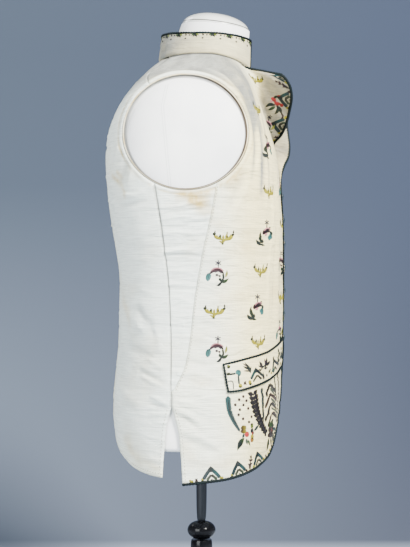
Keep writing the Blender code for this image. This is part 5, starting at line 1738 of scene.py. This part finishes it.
def on_button(x, z):
    """The face of whichever button is nearest, by place across and up."""
    seat = seats[np.argmin(np.abs(z[:, None] - seats[:, 2]), axis=1)]
    share = np.hypot(x - seat[:, 0], z - seat[:, 2]) / BUTTON_RADIUS
    high = BUTTON_HIGH * np.sqrt(np.clip(1 - share**2, 0, 1))
    return np.stack([x, seat[:, 1] - high, z], axis=1), np.tile((0.0, -1.0, 0.0), (len(x), 1))


def face_of(seat):
    def lay(flat):
        return flat + (seat[0], seat[2])
    return lay


stars = Needlework()
for number, seat in enumerate(seats, 1):
    fitted(button(f"covered_button_{number}", seat), "button_cloth", f"button_{number}")
    stars.sew(face_of(seat), STAR)
stars.finish("button_stars", on_button, 0.0, slot="button_cloth")

# ---- Sewing ----
# Small running stitches of linen thread beside the seams, round the slits and along the plain hem.

STITCH = (petal(0.2, "thread", -1.2, 0, 1.2, 0),)
STITCH_START, STITCH_PITCH = 2.0, 4.6
FRONT_ROWS, BACK_ROWS = FRONT_SPLITS[0], BACK_SPLITS[0]
# Each run: the net's edge it follows, and how far in from that edge it lies
FRONT_RUNS = ((FRONT_NET[7 * FRONT_ROWS:16 * FRONT_ROWS, -1], -2.4),
              (FRONT_NET[:SLIT_STEPS * FRONT_ROWS, -1], -4.5))
BACK_RUNS = ((BACK_NET[:SLIT_STEPS * BACK_ROWS, 0], 4.5), (BACK_NET[0], -5.5))


def stitched(name, runs, ground, side, slot):
    sewing = Needlework()
    for line, inset in runs:
        for here, way, inward in along_edge(line, STITCH_START, STITCH_PITCH):
            start = here + inset * inward / (mm_per_degree(*here), 1)
            sewing.sew(laid(*start, way, inward), STITCH)
    return sewing.finish(f"{name}_{side}", ground, WALL, side, slot)


front_stitches = {side: stitched("front_stitches", FRONT_RUNS, front_ground(side), side, "embroidered_cloth")
                  for side in SIDES}
back_stitches = {side: stitched("back_stitches", BACK_RUNS, skin_ground("back"), side, "plain_cloth")
                 for side in SIDES}

# ---- The cut ----
# Each piece of cloth as it was cut: its width, its length and its area, in metres. All are cut flat and
# shaped only by their curved seams.

CUTS = {
    "front": (0.30, 0.745, 0.136),
    "back": (0.21, 0.625, 0.104),
    "gusset": (0.092, 0.31, 0.0128),
    "flap": (0.155, 0.044, 0.0063),
    "collar": (0.41, 0.046, 0.0145),
}


def declare(piece, cut):
    width, length, area = CUTS[cut]


for side in SIDES:
    declare(fronts[side], "front")
    declare(backs[side], "back")
    declare(gussets[side], "gusset")
    declare(flaps[side], "flap")
declare(collar, "collar")

# ---- Room, lights and camera ----
# A pale floor that sweeps up behind the object into a blue-grey wall, and three large soft lights. The
# wall isn't seen from behind, so that the object shows from every side.

FLOOR_PALE, WORLD_PALE = srgb(150, 160, 174), srgb(196, 204, 216)
WALL_BLUE, WALL_DUSK = srgb(53, 63, 77), srgb(44, 53, 71)
FOOT_BLUE, FOOT_DUSK = srgb(86, 95, 109), srgb(46, 53, 69)
FLOOR_EDGE, WALL_FADE = 0.02, 0.75  # heights where the floor turns into the wall's foot and that fades
ROOM_WIDTH, ROOM_NEAR, ROOM_FAR, ROOM_HIGH = 9000.0, -4200.0, 1500.0, 4200.0
SWEEP_RADIUS, SWEEP_STEPS = 1100.0, 24
EYE_DISTANCE, EYE_HEIGHT, EYE_ASIDE = 2200.0, 530.25, -5.25
PICTURE_HEIGHT = 820.5  # what the camera takes in at the pole, in millimetres
SENSOR = 36.0
LIGHTS_AIM = np.array((0.0, 0.0, 0.55))
LIGHTS = (  # place, width and height, power and colour
    ("key", (-1.8, -1.4, 2.3), 0.8, 460.0, (1.0, 0.985, 0.95)),
    ("fill", (-2.4, 1.7, 1.0), 1.8, 150.0, (0.95, 0.985, 1.0)),
    ("back", (1.2, 1.3, 2.1), 1.0, 26.0, (1.0, 1.0, 1.0)),
)

room = Finish("pale_floor", Roughness=0.95)
_, depth, height = room.split(room.place())
# Painted shade: the wall and its foot darker towards one side
aside = room.ranged(depth, 0.5, -0.5)
wall, foot = room.mixed(aside, WALL_BLUE, WALL_DUSK), room.mixed(aside, FOOT_BLUE, FOOT_DUSK)
foot = room.mixed(room.ranged(height, 0.0, FLOOR_EDGE), FLOOR_PALE, foot)
FLOOR = room.given(Base_Color=room.mixed(room.ranged(height, FLOOR_EDGE, WALL_FADE), foot, wall))
unseen = room.times(room.add("NewGeometry", {})["Backfacing"], room.add("LightPath", {})["Is Camera Ray"])
shown = room.tree.nodes["Principled BSDF"].outputs[0]
both = room.add("MixShader", {0: unseen, 1: shown, 2: room.add("BsdfTransparent", {})[0]})[0]
room.feed(room.tree.nodes["Material Output"], {"Surface": both})

turns = np.linspace(0, math.pi / 2, SWEEP_STEPS + 1)
curve = [(ROOM_FAR + SWEEP_RADIUS * (math.sin(turn) - 1), SWEEP_RADIUS * (1 - math.cos(turn)))
         for turn in turns]
line = [(ROOM_NEAR, 0.0), *curve, (ROOM_FAR, ROOM_HIGH)]
points = [(x, side * ROOM_WIDTH / 2, z) for side in (-1, 1) for x, z in line]
faces = [(i, i + 1, i + 1 + len(line), i + len(line)) for i in range(len(line) - 1)]
mesh_object("floor", points, faces, FLOOR)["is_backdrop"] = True

world = bpy.data.worlds.new("studio")
world.use_nodes = True
Recipe(world.node_tree).feed(world.node_tree.nodes["Background"], {"Color": WORLD_PALE, "Strength": 0.6})
bpy.context.scene.world = world

for name, place, size, power, colour in LIGHTS:
    data = bpy.data.lights.new(name, "AREA")
    data.size = size
    data.energy = power
    data.color = colour
    lamp = bpy.data.objects.new(name, data)
    lamp.location = place
    east, north, up = LIGHTS_AIM - place
    tilt, heading = math.atan2(math.hypot(east, north), -up), math.atan2(north, east)
    lamp.rotation_euler = (tilt, 0.0, heading - math.pi / 2)
    bpy.context.scene.collection.objects.link(lamp)

lens = bpy.data.cameras.new("camera")
lens.sensor_fit = "VERTICAL"
lens.sensor_height = SENSOR
lens.lens = SENSOR * EYE_DISTANCE / PICTURE_HEIGHT
eye = bpy.data.objects.new("camera", lens)
eye.location = (-EYE_DISTANCE * MM, EYE_ASIDE * MM, EYE_HEIGHT * MM)
eye.rotation_euler = (math.pi / 2, 0.0, -math.pi / 2)
bpy.context.scene.collection.objects.link(eye)
bpy.context.scene.camera = eye

[[list(corner) for corner in box] for box in (solid_bounds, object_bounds())]
